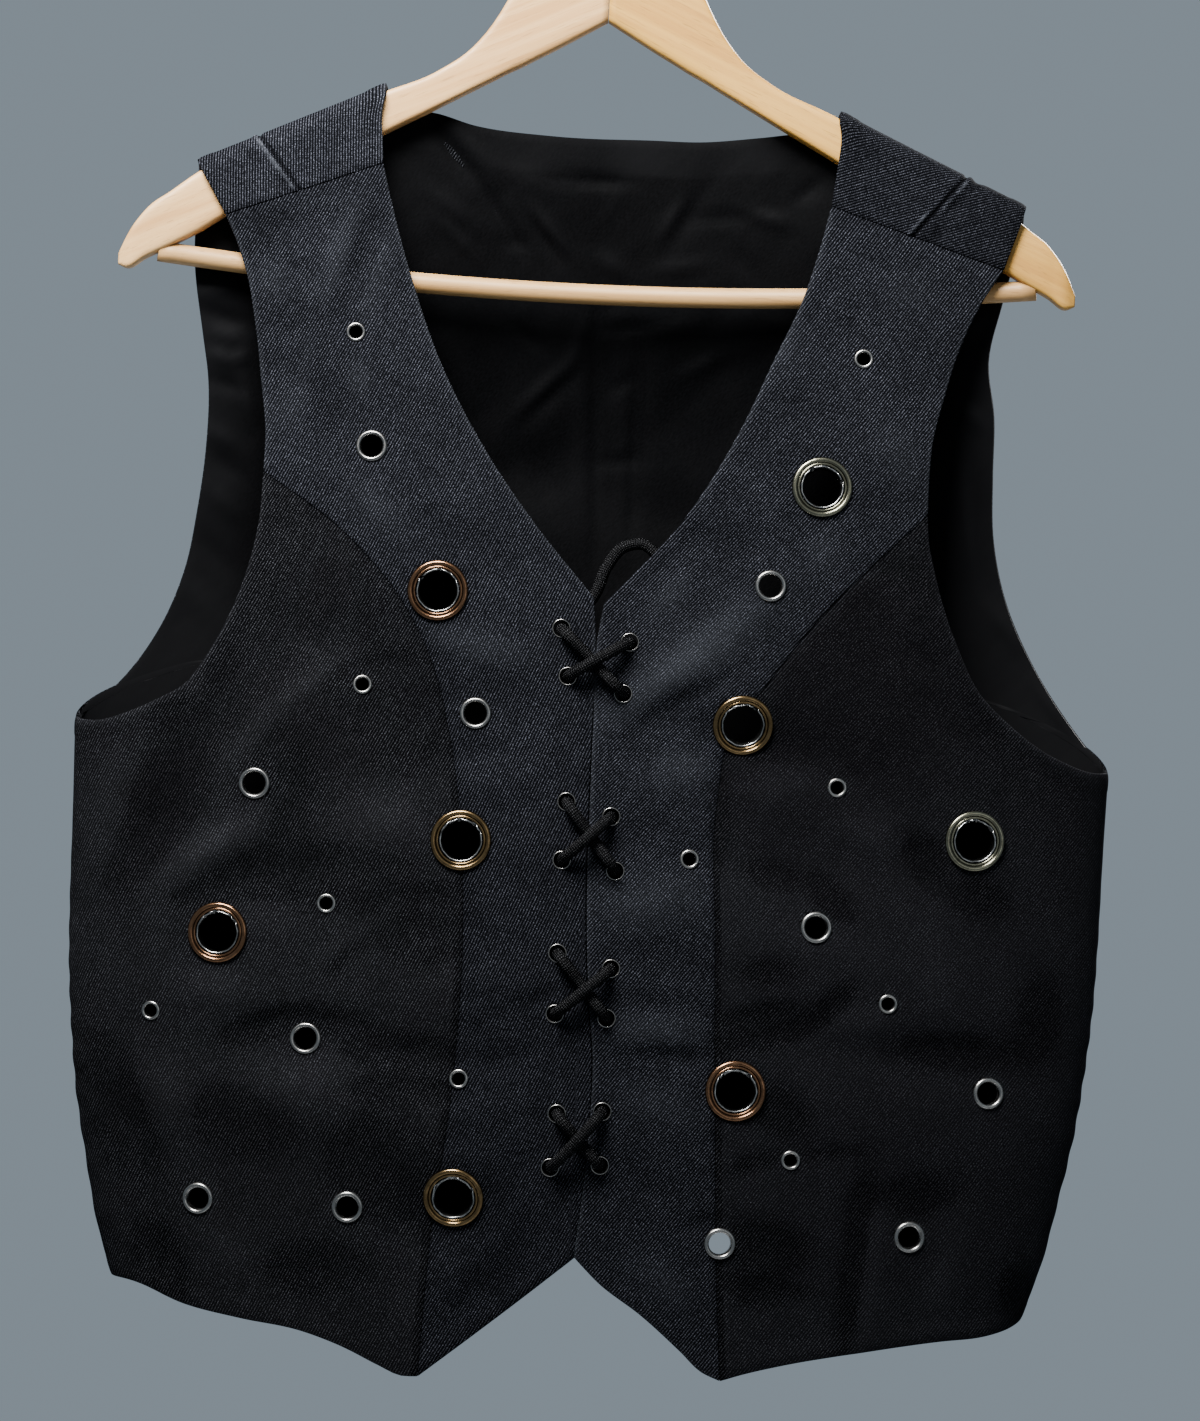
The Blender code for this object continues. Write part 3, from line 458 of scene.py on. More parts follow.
# The seam across each yoke, from the ridge to the front, with worn gathers beside it.
YOKE_WORN = {LEFT: ((-159, 179), (-140, 203)), RIGHT: ((169, 184), (144, 215))}
YOKE_WORN_SWAP, SWAP_FADE = {LEFT: -20, RIGHT: 19}, 5  # where the ridge changes sides
WORN_RIDGE, WORN_RIDGE_AT, WORN_RIDGE_REACH = 0.7, 2.2, 1.2
WORN_LINE, WORN_LINE_REACH, WORN_LINE_SHADE = 1.0, 0.9, 0.8
WORN_GATHERS = 0.9, 0.37
DENT_SHADE = 0.35
YOKE_RUB = {LEFT: 0.3, RIGHT: 0.5}
# Painted shade at the outer end of each yoke, and over the whole right yoke.
YOKE_OUTER_SHADE, YOKE_OUTER_FADE = {LEFT: 0.08, RIGHT: 0.12}, 4
YOKE_SHADE = {LEFT: 0, RIGHT: 0.2}
CURL_REACH, CURL_INWARDS, CURL_UP = 6, 2.0, 1.6
YOKE_DENTS = {  # x, drop, turn in degrees, half length, half width, height
    LEFT: ((-163, 189, -52, 5, 2.6, -1.0), (-148, 201, -52, 5, 2.6, -1.0)),
    RIGHT: (
        (175, 186, 50, 5, 2.6, -1.0), (165, 197, 50, 5, 2.8, -1.1), (157, 211, 50, 6, 2.6, -1.0),
    ),
}

EYELETS = {  # outer, bore and barrel radius, height of the rim, depth of the foot behind
    "large": (14.0, 8.6, 9.5, 1.9, 0.9),
    "medium": (7.5, 5.1, 5.7, 1.2, 0.7),
    "small": (4.6, 2.9, 3.3, 0.8, 0.6),
    "lacing": (4.4, 3.6, 3.85, 0.5, 0.5),
}
EYELET_PLACES = {  # x, drop
    "large": (
        (-67, 387), (-51, 502), (-162, 550), (-47, 667), (109, 331), (77, 443), (187, 492),
        (81, 612),
    ),
    "medium": (
        (-101, 321), (-47, 443), (-148, 480), (-119, 597), (-166, 674), (-96, 674), (87, 378),
        (115, 535), (199, 609), (165, 677), (77, 683),
    ),
    "small": (
        (-111, 268), (-100, 432), (-112, 534), (-192, 588), (-47, 612), (126, 270), (55, 506),
        (122, 470), (150, 569), (108, 643),
    ),
    "lacing": (
        (-9, 402), (23, 407), (-5, 424), (21, 431), (-3, 482), (18, 488), (-4, 509), (21, 513),
        (-4, 552), (21, 558), (-4, 580), (20, 581), (-1, 626), (20, 624), (-3, 651), (20, 649),
    ),
}
LARGE_PLATING = ("copper", "brass", "copper", "brass", "nickel", "brass", "nickel", "copper")
HOLE_SIDES, EYELET_STEPS = 32, 56
HOLE_ROOM, PUNCH_LENGTH = 0.1, 20.0
SEAT_RINGS, SEAT_POINTS, SEAT_SHARE = (0.55, 1), 12, 70
RAY_START = -0.5  # metres, in front of the vest
RIM_STATIONS = (0.02, 0.12, 0.25, 0.4, 0.55, 0.7, 0.84, 0.95)
RIM_LIFT, RIM_SINK, RIM_FULLNESS = 0.12, 0.2, 0.7

# The large eyelets' plated ring: a rolled edge, a groove, a ridge and a deeper groove.
WASHER = (  # radius, height above the cloth's face, grime
    (13.9, -0.2, 1), (14.15, 0.3, 0.7), (14.1, 0.9, 0.2), (13.8, 1.45, 0),
    (13.3, 1.8, 0), (12.7, 1.9, 0), (12.15, 1.7, 0.1), (11.8, 1.35, 0.5),
    (11.65, 1.05, 1), (11.5, 1.05, 1), (11.3, 1.3, 0.2), (10.95, 1.4, 0),
    (10.6, 1.25, 0.2), (10.35, 0.85, 0.7), (10.2, 0.3, 1), (10.1, -0.2, 1),
)
# Their split barrel: the lip over the washer, the foot behind, and the wall back to the lip.
BARREL_LIP = (  # radius, height above the cloth's face, grime
    (9.95, 0.3, 0.9), (9.95, 0.9, 0.3), (9.8, 1.25, 0), (9.5, 1.3, 0),
    (9.2, 1.0, 0.4), (9.0, 0.5, 0.8), (8.8, -0.2, 0.6), (8.65, -1.0, 0.9),
)
BARREL_FOOT = (  # radius, height above the cloth's back, grime
    (8.6, -0.9, 1), (13.6, -0.9, 0), (14.0, -0.4, 0), (13.6, 0, 0), (9.5, 0, 0),
)
BARREL_SHOULDER = ((9.5, -0.3, 0), (9.7, -0.1, 1))
BARREL_STEPS = 120
TEARS, TEAR_TURNS, TEAR_DEPTHS, TEAR_WIDTH = 5, (0.2, 2.6), (0.3, 1.0), 0.09
LIP_WAVES = (2, 3, 7, 13)
LIP_FROM, LIP_RISE = 0.5, 1.5
CURL_OUT, CURL_LIFT, TEAR_OUT, TEAR_DROP = 0.22, 0.2, 0.8, 1.0

# The lace: its passes through the lacing eyelets, then its shape at each pass and crossing.
LACE_RADIUS, LACE_SIDES, LACE_STEP = 2.7, 20, 0.9
STRANDS, STRAND_LENGTH, STRAND_RISE = 4, 4.2, 0.035
BRAID_TURNS, BRAID_LENGTH = 8, 2.1
LACE_ORDER = (1, 4, 6, 7, 9, 12, 14, 15, 16, 13, 11, 10, 8, 5, 3, 2)
PASS_INSIDE = (1.8, -6.8)
PASS_MIDDLE = (0.6, -0.4)
PASS_OUTSIDE = (2.6, 3.6)
RUN_DEPTH = 8.0
UNDER_HEIGHT = 3.0
OVER_HEIGHT, OVER_SPREAD = 8.2, 2.4
LOOP = (  # x, drop, distance behind the front's outer face
    (44, 468, 8.5),
    (45, 446, 8.5),
    (45, 424, 8.5),
    (44, 402, 9),
    (41, 382, 10),
    (35, 367, 11),
    (27, 361, 12),
    (18, 363, 12),
    (11, 372, 11),
    (6, 385, 10),
    (-2, 396, 9),
)
HIDDEN_END = ((29, 414, 8.5), (33, 428, 8.5), (34, 448, 8.5), (34, 470, 8.5), (33, 490, 8.5))

# The hanger.
ARM = (  # distance from the middle, drop of the top, drop of the underside, half thickness
    (0.15, 70.0, 116, 6.5),
    (12, 71.0, 123, 6.5),
    (24, 75.5, 130, 6.5),
    (33, 82, 135, 6.5),
    (40, 92, 139, 6.5),
    (46, 105, 142, 6.5),
    (53, 118, 146, 6.5),
    (62, 130, 151, 6.5),
    (78, 142.5, 160, 6.5),
    (105, 154.8, 175, 6.5),
    (140, 171.2, 196, 6.5),
    (170, 185.4, 213, 6.5),
    (188, 196.5, 225, 6.5),
    (200, 206, 232, 6.5),
    (211, 215, 238, 6.2),
    (219, 227, 243, 5.0),
    (223, 236, 241.5, 2.6),
)
ARM_SECTION_POINTS, ARM_STATIONS, ARM_TIP_CROWDING = 36, 90, 1.3
ARM_SQUARENESS = 0.32
BAR_RADIUS = 4.8
BAR_REACH, BAR_DROP, BAR_RISE = 205, 244.0, 9.8
BAR_STEPS, BAR_SIDES = 60, 28
HOOK_WIRE, HOOK_INNER = 1.9, 17.0
HOOK_ARC = (215, -15)
HOOK_ARC_STEPS, HOOK_STEPS, HOOK_SIDES = 40, 150, 20
SHANK = ((0, 96), (0, 84), (0, 72), (0, 60), (-0.6, 52), (-3.4, 44.5), (-8.5, 37))

# Finishes, with linear colours.
NOISE_RANGE = 0.3, 0.7
WALE_SHARPNESS, WALE_SHARE = 2.2, 0.37
SLUBS, PATCHES = (0.9, 1.1), (0.84, 1.18)
# The near-black that the denim is painted towards where the tone is below 0: painted shade.
PAINTED_SHADE_COLOUR = (0.0006, 0.0006, 0.0008)
DENIMS = {  # pale threads, dark ground, and the paler colour that rubbing and painted light move towards
    "washed_denim": ((0.079, 0.0825, 0.1), (0.0012, 0.0013, 0.0017), (0.13, 0.14, 0.16)),
    # A paler copy of washed denim, for the left yoke: painted light.
    "washed_denim_painted_lit": ((0.112, 0.117, 0.143), (0.0018, 0.0019, 0.0024), (0.16, 0.17, 0.195)),
    "charcoal_denim": ((0.053, 0.0545, 0.0615), (0.0008, 0.0008, 0.001), (0.08, 0.08, 0.09)),
    # A darker copy of charcoal denim, for the right side front: painted shade.
    "charcoal_denim_painted_shade": ((0.042, 0.043, 0.0485), (0.0006, 0.0006, 0.0008), (0.06, 0.06, 0.07)),
}
METALS = {  # tint, shadow, roughness, share of dark patches
    "copper_plating": ((0.24, 0.125, 0.066), (0.014, 0.008, 0.005), 0.2, 0.6),
    "brass_plating": ((0.24, 0.155, 0.07), (0.014, 0.009, 0.004), 0.2, 0.6),
    "olive_plating": ((0.24, 0.23, 0.165), (0.02, 0.019, 0.012), 0.2, 0.6),
    "satin_nickel": ((0.31, 0.3, 0.285), (0.05, 0.048, 0.045), 0.24, 0.5),
    "torn_steel": ((0.42, 0.42, 0.41), (0.03, 0.029, 0.027), 0.24, 0.9),
}
PLATING = {"copper": "copper_plating", "brass": "brass_plating", "nickel": "olive_plating"}
# Lining: dark and light crumples, and the paler colour of its painted sheen and light.
LINING_TONES = (0.0003, 0.0003, 0.0004), (0.0017, 0.0017, 0.002), (0.0042, 0.0042, 0.0046)
BRAID_TONES = (0.0004, 0.0004, 0.0005), (0.15, 0.15, 0.158)
WIRE_TONES = (0.62, 0.62, 0.63), (0.75, 0.75, 0.76)
WOODS = {  # pale grain, deep grain, turn of the grain in degrees
    "pale_beech": ((0.57, 0.345, 0.145), (0.45, 0.24, 0.083), 25),
    "golden_beech": ((0.47, 0.255, 0.052), (0.37, 0.18, 0.03), -25),
    "bar_beech": ((0.45, 0.265, 0.105), (0.35, 0.19, 0.066), 0),
}

# The studio, in metres.
FLOOR_Z, FLOOR_RADIUS, FLOOR_SIDES = -1.9, 4.0, 96
FLOOR_GREYS = (0.5, 0.52, 0.54), (0.54, 0.56, 0.58)
WALL = (0.22, 0.266, 0.307)
LIGHTS = {  # place, what it is aimed at, side, power, spread in degrees
    "window": ((-0.3, -0.62, 0.5), (-0.09, 0, -0.14), 0.55, 18, 88),
    "fill": ((0.9, -1.7, -0.1), (0, 0, -0.4), 1.2, 3.5, 180),
    "behind": ((0.95, 1.1, 0.45), (0, 0, -0.35), 0.6, 90, 180),
}
CAMERA_AT = (0.0106, -2.2, -0.4392)
CAMERA_ROLL = math.radians(2.58)
FRAME_HEIGHT, SENSOR = 0.668, 36.0


# ---- sizes between the rows of a table -----------------------------------------------------


def between(at, rows_at, values):
    """Values on a smooth curve through a table's rows, level beyond its ends."""
    rows_at = np.asarray(rows_at, float)
    values = np.asarray(values, float)
    at = np.clip(np.asarray(at, float), rows_at[0], rows_at[-1])
    slopes = np.gradient(values, rows_at, axis=0)
    row = np.clip(np.searchsorted(rows_at, at, side="right") - 1, 0, len(rows_at) - 2)
    width = rows_at[row + 1] - rows_at[row]
    part = (at - rows_at[row]) / width
    if values.ndim > 1:
        part, width = part[..., None], width[..., None]
    start = (1 + 2 * part) * (1 - part) ** 2 * values[row]
    start_slope = part * (1 - part) ** 2 * width * slopes[row]
    end = part**2 * (3 - 2 * part) * values[row + 1]
    end_slope = part**2 * (part - 1) * width * slopes[row + 1]
    return start + start_slope + end + end_slope


def run_of(line):
    """Distance along a line at each of its points."""
    return np.concatenate([[0], np.cumsum(np.linalg.norm(np.diff(line, axis=0), axis=1))])


def along(points, steps):
    """Points spaced evenly on a smooth line through the given ones."""
    points = np.asarray(points, float)
    if len(points) == 2:
        return np.linspace(points[0], points[1], steps + 1)
    places = run_of(points)
    fine = between(np.linspace(0, places[-1], SPACING_STEPS * steps), places, points)
    run = run_of(fine)
    even = np.linspace(0, run[-1], steps + 1)
    return np.column_stack([np.interp(even, run, axis) for axis in fine.T])


def unit(vectors):
    return vectors / np.linalg.norm(vectors, axis=-1, keepdims=True)


def soft_step(value):
    value = np.clip(value, 0, 1)
    return value * value * (3 - 2 * value)


def bump(distance, reach):
    return np.exp(-((distance / reach) ** 2))


# ---- the garment's form --------------------------------------------------------------------


def body(column, drop):
    table = np.array(BODY, float)
    return between(drop, table[:, 0], table[:, column])


def ridge_drop(x):
    """Drop of the shoulder line, where the cloth turns over the hanger's arm."""
    return RIDGE_START[1] + RIDGE_SLOPE * (np.abs(x) - RIDGE_START[0])


def arm_bow(x):
    """The arms curve forwards towards their tips."""
    return -ARM_BOW * (x / ARM_BOW_AT) ** 2


def fold_height(folds, x, drop):
    height = np.zeros(np.shape(x))
    for fold_x, fold_drop, turn, half_length, half_width, rise in folds:
        cos, sin = math.cos(math.radians(turn)), math.sin(math.radians(turn))
        run = (x - fold_x) * cos - (drop - fold_drop) * sin
        across = (x - fold_x) * sin + (drop - fold_drop) * cos
        height = height + rise * bump(run, half_length) * bump(across, half_width)
    return height


def outer_y(side, x, drop):
    """Y of the outer face of the front or back sheet, in millimetres."""
    x, drop = np.asarray(x, float), np.asarray(drop, float)
    across = np.clip((x - CENTRE_X) / body(HALF_WIDTH, drop), -1, 1)
    round_off = np.sqrt(1 - across**2)
    depth = body(FRONT_DEPTH if side == FRONT else BACK_DEPTH, drop)
    off_sides = soft_step(round_off * 2)
    hollow = GAP / 2 + depth * round_off + fold_height(FOLDS[side], x, drop) * off_sides
    on_arm = arm_bow(x) + side * HANG_OFFSET[side]
    fall = soft_step((drop - ridge_drop(x) - FALL_START) / FALL_LENGTH)
    creases = fold_height(CREASES[side], x, drop) * off_sides
    return on_arm + (side * hollow - on_arm) * fall + side * creases


def to_round(edge):
    """An edge's (x, drop) points as (angle round the body, drop)."""
    across = np.clip((edge[:, 0] - CENTRE_X) / body(HALF_WIDTH, edge[:, 1]), -1, 1)
    return np.column_stack([np.arcsin(across), edge[:, 1]])


def along_round(points, steps):
    """Points on a smooth edge, spaced evenly in angle round the body and in height."""
    round_points = to_round(np.asarray(points, float))
    even = along(round_points * (ROUND_SPACING, 1), steps) / (ROUND_SPACING, 1)
    x = CENTRE_X + body(HALF_WIDTH, even[:, 1]) * np.sin(even[:, 0])
    return np.column_stack([x, even[:, 1]])


def on_sheet(side, angle, drop):
    x = CENTRE_X + body(HALF_WIDTH, drop) * np.sin(angle)
    return np.stack([x, outer_y(side, x, drop), -drop], axis=-1)


def shifted(line, distance):
    """A seam's line moved sideways, towards +X where distance is positive and it runs down."""
    step = np.gradient(line, axis=0)
    length = np.linalg.norm(step, axis=1, keepdims=True)
    return line + distance * np.column_stack([step[:, 1], -step[:, 0]]) / length


def joined(*lines):
    """Lines that follow on from each other, as one, with each shared point once."""
    return np.concatenate([lines[0]] + [line[1:] for line in lines[1:]])


class Cloth:
    """One cut piece of cloth, as a grid with rows from top to bottom."""

    def __init__(self, name, points, normals, flat):
        self.name, self.points, self.normals, self.flat = name, points, normals, flat
        self.tone = np.zeros(points.shape[:2])

    def place(self):
        """X and drop of every point."""
        return self.points[..., 0], -self.points[..., 2]

    def edge_distance(self, edge):
        """Distance of each point from the grid's top, bottom, left or right edge."""
        ends = {
            "top": self.points[:1],
            "bottom": self.points[-1:],
            "left": self.points[:, :1],
            "right": self.points[:, -1:],
        }
        return np.linalg.norm(self.points - ends[edge], axis=-1)

    def move(self, height):
        self.points = self.points + height[..., None] * self.normals

    def wear_and_painted_light(self):
        """Rubs the crease ridges paler, paints shade into the troughs, and paints the lower end
        darker or paler by piece.
        """
        x, drop = self.place()
        height = fold_height(FRONT_CREASES, x, drop)
        self.tone += np.where(height > 0, RIDGE_RUB, TROUGH_SHADE) * height
        self.tone += LOW_PAINTED_LIGHT[self.name] * soft_step((drop - LOW_FROM) / LOW_FADE)

    def sew(self, edge, rows=slice(None), gathers=GATHER_RISE):
        """Sinks an edge into its seam and gathers the cloth beside it."""
        distance = self.edge_distance(edge)[rows]
        run = self.flat[rows][..., 1 if edge in ("left", "right") else 0]
        sway = GATHER_SWAY * np.sin(run / GATHER_SWAY_LENGTH)
        wave = np.sin(run / GATHER_LENGTH * 2 * math.pi + sway)
        wave = wave * (0.5 + 0.5 * np.sin(run / GATHER_BUNCHES + 1))
        height = np.zeros(self.tone.shape)
        height[rows] = -SEAM_DIP * bump(distance, SEAM_REACH)
        height[rows] += gathers * wave * bump(distance - GATHER_FROM, GATHER_REACH)
        self.tone[rows] -= SEAM_SHADE * bump(distance, SEAM_SHADE_REACH)
        self.move(height)

    def turn_edge(self, edge, rows=slice(None)):
        """Rounds a turned edge over the allowance folded behind it, and makes the edge paler:
        partly from rubbing, partly painted sheen.
        """
        distance = self.edge_distance(edge)[rows]
        height = np.zeros(self.tone.shape)
        height[rows] = -EDGE_DIP * bump(distance, EDGE_REACH)
        height[rows] += ALLOWANCE_RISE * soft_step((ALLOWANCE - distance) / ALLOWANCE_STEP)
        self.tone[rows] += EDGE_RUB_AND_SHEEN * bump(distance, EDGE_REACH)
        self.move(height)

    def wales(self):
        """Each point's place across and along the twill's wales, in millimetres."""
        drops, slopes = np.array(WALE_SLOPES[self.name], float).T
        fine = np.linspace(drops[0], drops[-1], WALE_TURN_STEPS)
        tangent = np.tan(np.radians(np.interp(fine, drops, slopes)))
        lean = np.concatenate([[0], np.cumsum(np.diff(fine) / tangent[1:])])
        turn = math.radians(slopes.mean())
        x, drop = self.flat[..., 0], self.flat[..., 1]
        across = math.sin(turn) * (x + np.interp(drop, fine, lean))
        up_wale = math.cos(turn) * x - math.sin(turn) * drop
        return np.stack([across, up_wale], axis=-1)


def sheet_cloth(name, side, left, right, top, bottom):
    """The piece of the front or back sheet between four edges."""
    left, right, top, bottom = (to_round(edge) for edge in (left, right, top, bottom))
    top[0], top[-1], bottom[0], bottom[-1] = left[0], right[0], left[-1], right[-1]
    down = np.linspace(0, 1, len(left))[:, None, None]
    over = np.linspace(0, 1, len(top))[None, :, None]
    sides = (1 - over) * left[:, None] + over * right[:, None]
    ends = (1 - down) * top[None] + down * bottom[None]
    corners = (1 - down) * ((1 - over) * left[0] + over * right[0])
    corners = corners + down * ((1 - over) * left[-1] + over * right[-1])
    grid = sides + ends - corners
    angle, drop = grid[..., 0], grid[..., 1]
    inwards = np.where(angle > 0, -SMALL, SMALL)
    here = on_sheet(side, angle, drop)
    step_over = (on_sheet(side, angle + inwards, drop) - here) / inwards[..., None]
    step_down = on_sheet(side, angle, drop + SMALL) - here
    normals = unit(np.cross(step_over, step_down) * side)
    turns = np.linspace(0, math.pi / 2, QUARTER_STEPS)
    arc = np.cumsum(np.hypot(np.cos(turns), FLATNESS * np.sin(turns))) * turns[1]
    round_length = np.sign(angle) * body(HALF_WIDTH, drop) * np.interp(abs(angle), turns, arc)
    return Cloth(name, here, normals, np.stack([round_length, drop], axis=-1))


# ---- making objects ------------------------------------------------------------------------


def link_object(name, data):
    item = bpy.data.objects.new(name, data)
    bpy.context.scene.collection.objects.link(item)
    return item


def add_object(name, mesh, finish, slot, *nodes):
    """A new piece of the model, which stands for the solids named."""
    item = link_object(name, mesh)
    mesh.materials.append(FINISHES[finish])
    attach(item, "root")
    if nodes:
        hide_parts(*nodes)
    return item


def mesh_from(name, shape, recalculate=True):
    if recalculate:
        bmesh.ops.recalc_face_normals(shape, faces=shape.faces[:])
    mesh = bpy.data.meshes.new(name)
    shape.to_mesh(mesh)
    shape.free()
    mesh.shade_smooth()
    return mesh


def settle(item):
    """Applies a piece's modifiers to its mesh."""
    graph = bpy.context.evaluated_depsgraph_get()
    mesh = bpy.data.meshes.new_from_object(item.evaluated_get(graph))
    old = item.data
    item.modifiers.clear()
    item.data = mesh
    bpy.data.meshes.remove(old)
    mesh.name = item.name


def flat_grid(cloth):
    """A flat grid like a piece's own, and a function from its verts to their row and column."""
    rows, columns = cloth.points.shape[0] - 1, cloth.points.shape[1] - 1
    shape = bmesh.new()
    bmesh.ops.create_grid(shape, x_segments=columns, y_segments=rows, size=0.5)

    def spot(vert):
        return round((vert.co.y + 0.5) * rows), round((vert.co.x + 0.5) * columns)

    return shape, spot


def cloth_wall(cloth, thickness, finish, slot):
    """The piece of cloth as a closed wall with rounded rims, textured along its twill."""
    inner = cloth.points - thickness * cloth.normals
    wales = cloth.wales() * MM
    shape, spot = flat_grid(cloth)
    tone = shape.verts.layers.float.new("tone")
    pattern = shape.loops.layers.uv.new("wales")
    made = bmesh.ops.extrude_face_region(shape, geom=shape.faces[:])["geom"]
    inside = {item for item in made if isinstance(item, bmesh.types.BMVert)}
    spots = {vert: spot(vert) for vert in shape.verts}
    for vert, place in spots.items():
        vert.co = Vector((inner if vert in inside else cloth.points)[place] * MM)
        vert[tone] = cloth.tone[place]
    for face in shape.faces:
        for loop in face.loops:
            loop[pattern].uv = wales[spots[loop.vert]]
    mesh = mesh_from(cloth.name, shape)
    item = add_object(f"{cloth.name}_cloth", mesh, finish, slot, cloth.name)
    rim = item.modifiers.new("rounded rim", "BEVEL")
    rim.width = EDGE_ROUND * MM
    rim.segments = EDGE_ROUND_STEPS
    rim.limit_method = "ANGLE"
    rim.angle_limit = math.radians(EDGE_ROUND_ANGLE)


def turned(name, profile, finish, slot, seat, steps=EYELET_STEPS, shape_ring=None, nodes=()):
    """A ring turned from a closed (radius, height, grime) profile and moved to its seat."""
    shape = bmesh.new()
    tone = shape.verts.layers.float.new("tone")
    verts = []
    for radius, height, *grime in profile:
        vert = shape.verts.new((radius * MM, 0, height * MM))
        vert[tone] = -grime[0] if grime else 0
        verts.append(vert)
    ring = [shape.edges.new(pair) for pair in zip(verts, verts[1:] + verts[:1])]
    bmesh.ops.spin(
        shape, geom=verts + ring, cent=(0, 0, 0), axis=(0, 0, 1), dvec=(0, 0, 0),
        angle=2 * math.pi, steps=steps, use_merge=True,
    )
    bmesh.ops.remove_doubles(shape, verts=shape.verts, dist=MERGE * MM)
    if shape_ring:
        for vert in shape.verts:
            vert.co = shape_ring(vert.co)
    bmesh.ops.transform(shape, matrix=seat, verts=shape.verts)
    return add_object(name, mesh_from(name, shape), finish, slot, *nodes)


def extruded(name, rings, runs=None):
    """A closed solid through rings of points, made by extruding the first ring's face."""
    shape = bmesh.new()
    bmesh.ops.create_circle(shape, cap_ends=True, segments=len(rings[0]), radius=1)
    shape.faces.ensure_lookup_table()
    cap = shape.faces[0]
    level = shape.verts.layers.int.new("ring")
    spot = shape.verts.layers.int.new("spot")
    for number, (vert, point) in enumerate(zip(list(cap.verts), rings[0])):
        vert.co = Vector(point) * MM
        vert[spot] = number
    for number, ring in enumerate(rings[1:], 1):
        made = bmesh.ops.extrude_face_region(shape, geom=[cap])["geom"]
        if number > 1:
            bmesh.ops.delete(shape, geom=[cap], context="FACES_ONLY")
        cap = next(item for item in made if isinstance(item, bmesh.types.BMFace))
        for vert in cap.verts:
            vert.co = Vector(ring[vert[spot]]) * MM
            vert[level] = number
    if runs is not None:
        add_round_pattern(shape, level, spot, len(rings[0]), runs)
    return mesh_from(name, shape)


def add_round_pattern(shape, level, spot, sides, runs):
    """A UV map with the turn round the piece and the distance along it."""
    pattern = shape.loops.layers.uv.new("round")
    for face in shape.faces:
        spots = [loop.vert[spot] for loop in face.loops]
        wraps = max(spots) - min(spots) > sides / 2
        for loop, place in zip(face.loops, spots):
            turn = place + (sides if wraps and place < sides / 2 else 0)
            loop[pattern].uv = (turn / sides, runs[loop.vert[level]] * MM)


def tube_rings(line, radius, sides, relief=None):
    """Rings square to a line, with as little twist as the line allows, and its run."""
    runs = run_of(line)
    heading = unit(np.gradient(line, axis=0))
    angles = np.arange(sides) * 2 * math.pi / sides
    flat = np.cross(heading[0], (0.0, 0.0, 1.0))
    if np.linalg.norm(flat) < 0.1:
        flat = np.cross(heading[0], (1.0, 0.0, 0.0))
    rings = []
    for point, forward, run in zip(line, heading, runs):
        flat = unit(flat - (flat @ forward) * forward)
        rise = np.cross(forward, flat)
        reach = radius * (relief(angles, run) if relief else np.ones(sides))
        around = np.cos(angles)[:, None] * flat + np.sin(angles)[:, None] * rise
        rings.append(point + reach[:, None] * around)
    return rings, runs


# ---- finishes ------------------------------------------------------------------------------


class Finish:
    """A material whose pattern nodes are added one by one. Colours are linear."""

    def __init__(self, name, **values):
        self.material = bpy.data.materials.new(name)
        self.material.use_nodes = True
        self.tree = self.material.node_tree
        self.shader = self.tree.nodes["Principled BSDF"]
        for socket, value in values.items():
            self.link(self.shader.inputs[socket.replace("_", " ")], value)

    def link(self, target, value):
        if isinstance(value, bpy.types.NodeSocket):
            self.tree.links.new(target, value)
        elif target.type == "RGBA":
            target.default_value = (*value, 1)
        else:
            target.default_value = value

    def node(self, kind, inputs=(), **settings):
        made = self.tree.nodes.new(kind)
        for setting, value in settings.items():
            setattr(made, setting, value)
        for socket, value in dict(inputs).items():
            self.link(made.inputs[socket], value)
        return made

    def place(self, pattern=None):
        """A point's place on the named UV map, or else in the object."""
        if pattern:
            return self.node("ShaderNodeUVMap", uv_map=pattern).outputs[0]
        return self.node("ShaderNodeTexCoord").outputs["Object"]

    def split(self, vector):
        return self.node("ShaderNodeSeparateXYZ", {"Vector": vector}).outputs[:2]

    def tone(self):
        return self.node("ShaderNodeAttribute", attribute_name="tone").outputs["Fac"]

    def math(self, operation, *values):
        made = self.node("ShaderNodeMath", operation=operation)
        for socket, value in zip(made.inputs, values):
            self.link(socket, value)
        return made.outputs[0]

    def times(self, first, second):
        return self.math("MULTIPLY", first, second)

    def plus(self, first, second):
        return self.math("ADD", first, second)

    def stretched(self, vector, scale, turn=(0, 0, 0)):
        made = self.node("ShaderNodeMapping", {"Vector": vector, "Scale": scale, "Rotation": turn})
        return made.outputs[0]

    def noise(self, vector, scale, detail, roughness=0.5, turn=(0, 0, 0)):
        """Noise with one scale, or with one for each axis of a turned place."""
        if isinstance(scale, tuple):
            vector, scale = self.stretched(vector, scale, turn), 1.0
        made = self.node(
            "ShaderNodeTexNoise",
            {"Vector": vector, "Scale": scale, "Detail": detail, "Roughness": roughness},
        )
        return made.outputs["Fac"]

    def blend(self, share, first, second):
        made = self.node("ShaderNodeMix", data_type="RGBA")
        self.link(made.inputs["Factor"], share)
        self.link(made.inputs["A"], first)
        self.link(made.inputs["B"], second)
        return made.outputs["Result"]

    def span(self, value, low, high, to_low=0.0, to_high=1.0):
        ends = {"From Min": low, "From Max": high, "To Min": to_low, "To Max": to_high}
        return self.node("ShaderNodeMapRange", {"Value": value, **ends}).outputs["Result"]

    def spread(self, noise, to_low, to_high):
        """A noise's usual values, spread from one value to another."""
        return self.span(noise, *NOISE_RANGE, to_low, to_high)

    def colour(self, value):
        self.link(self.shader.inputs["Base Color"], value)

    def roughness(self, value):
        self.link(self.shader.inputs["Roughness"], value)

    def relief(self, height, distance, strength):
        made = self.node(
            "ShaderNodeBump", {"Height": height, "Strength": strength, "Distance": distance}
        )
        self.link(self.shader.inputs["Normal"], made.outputs[0])


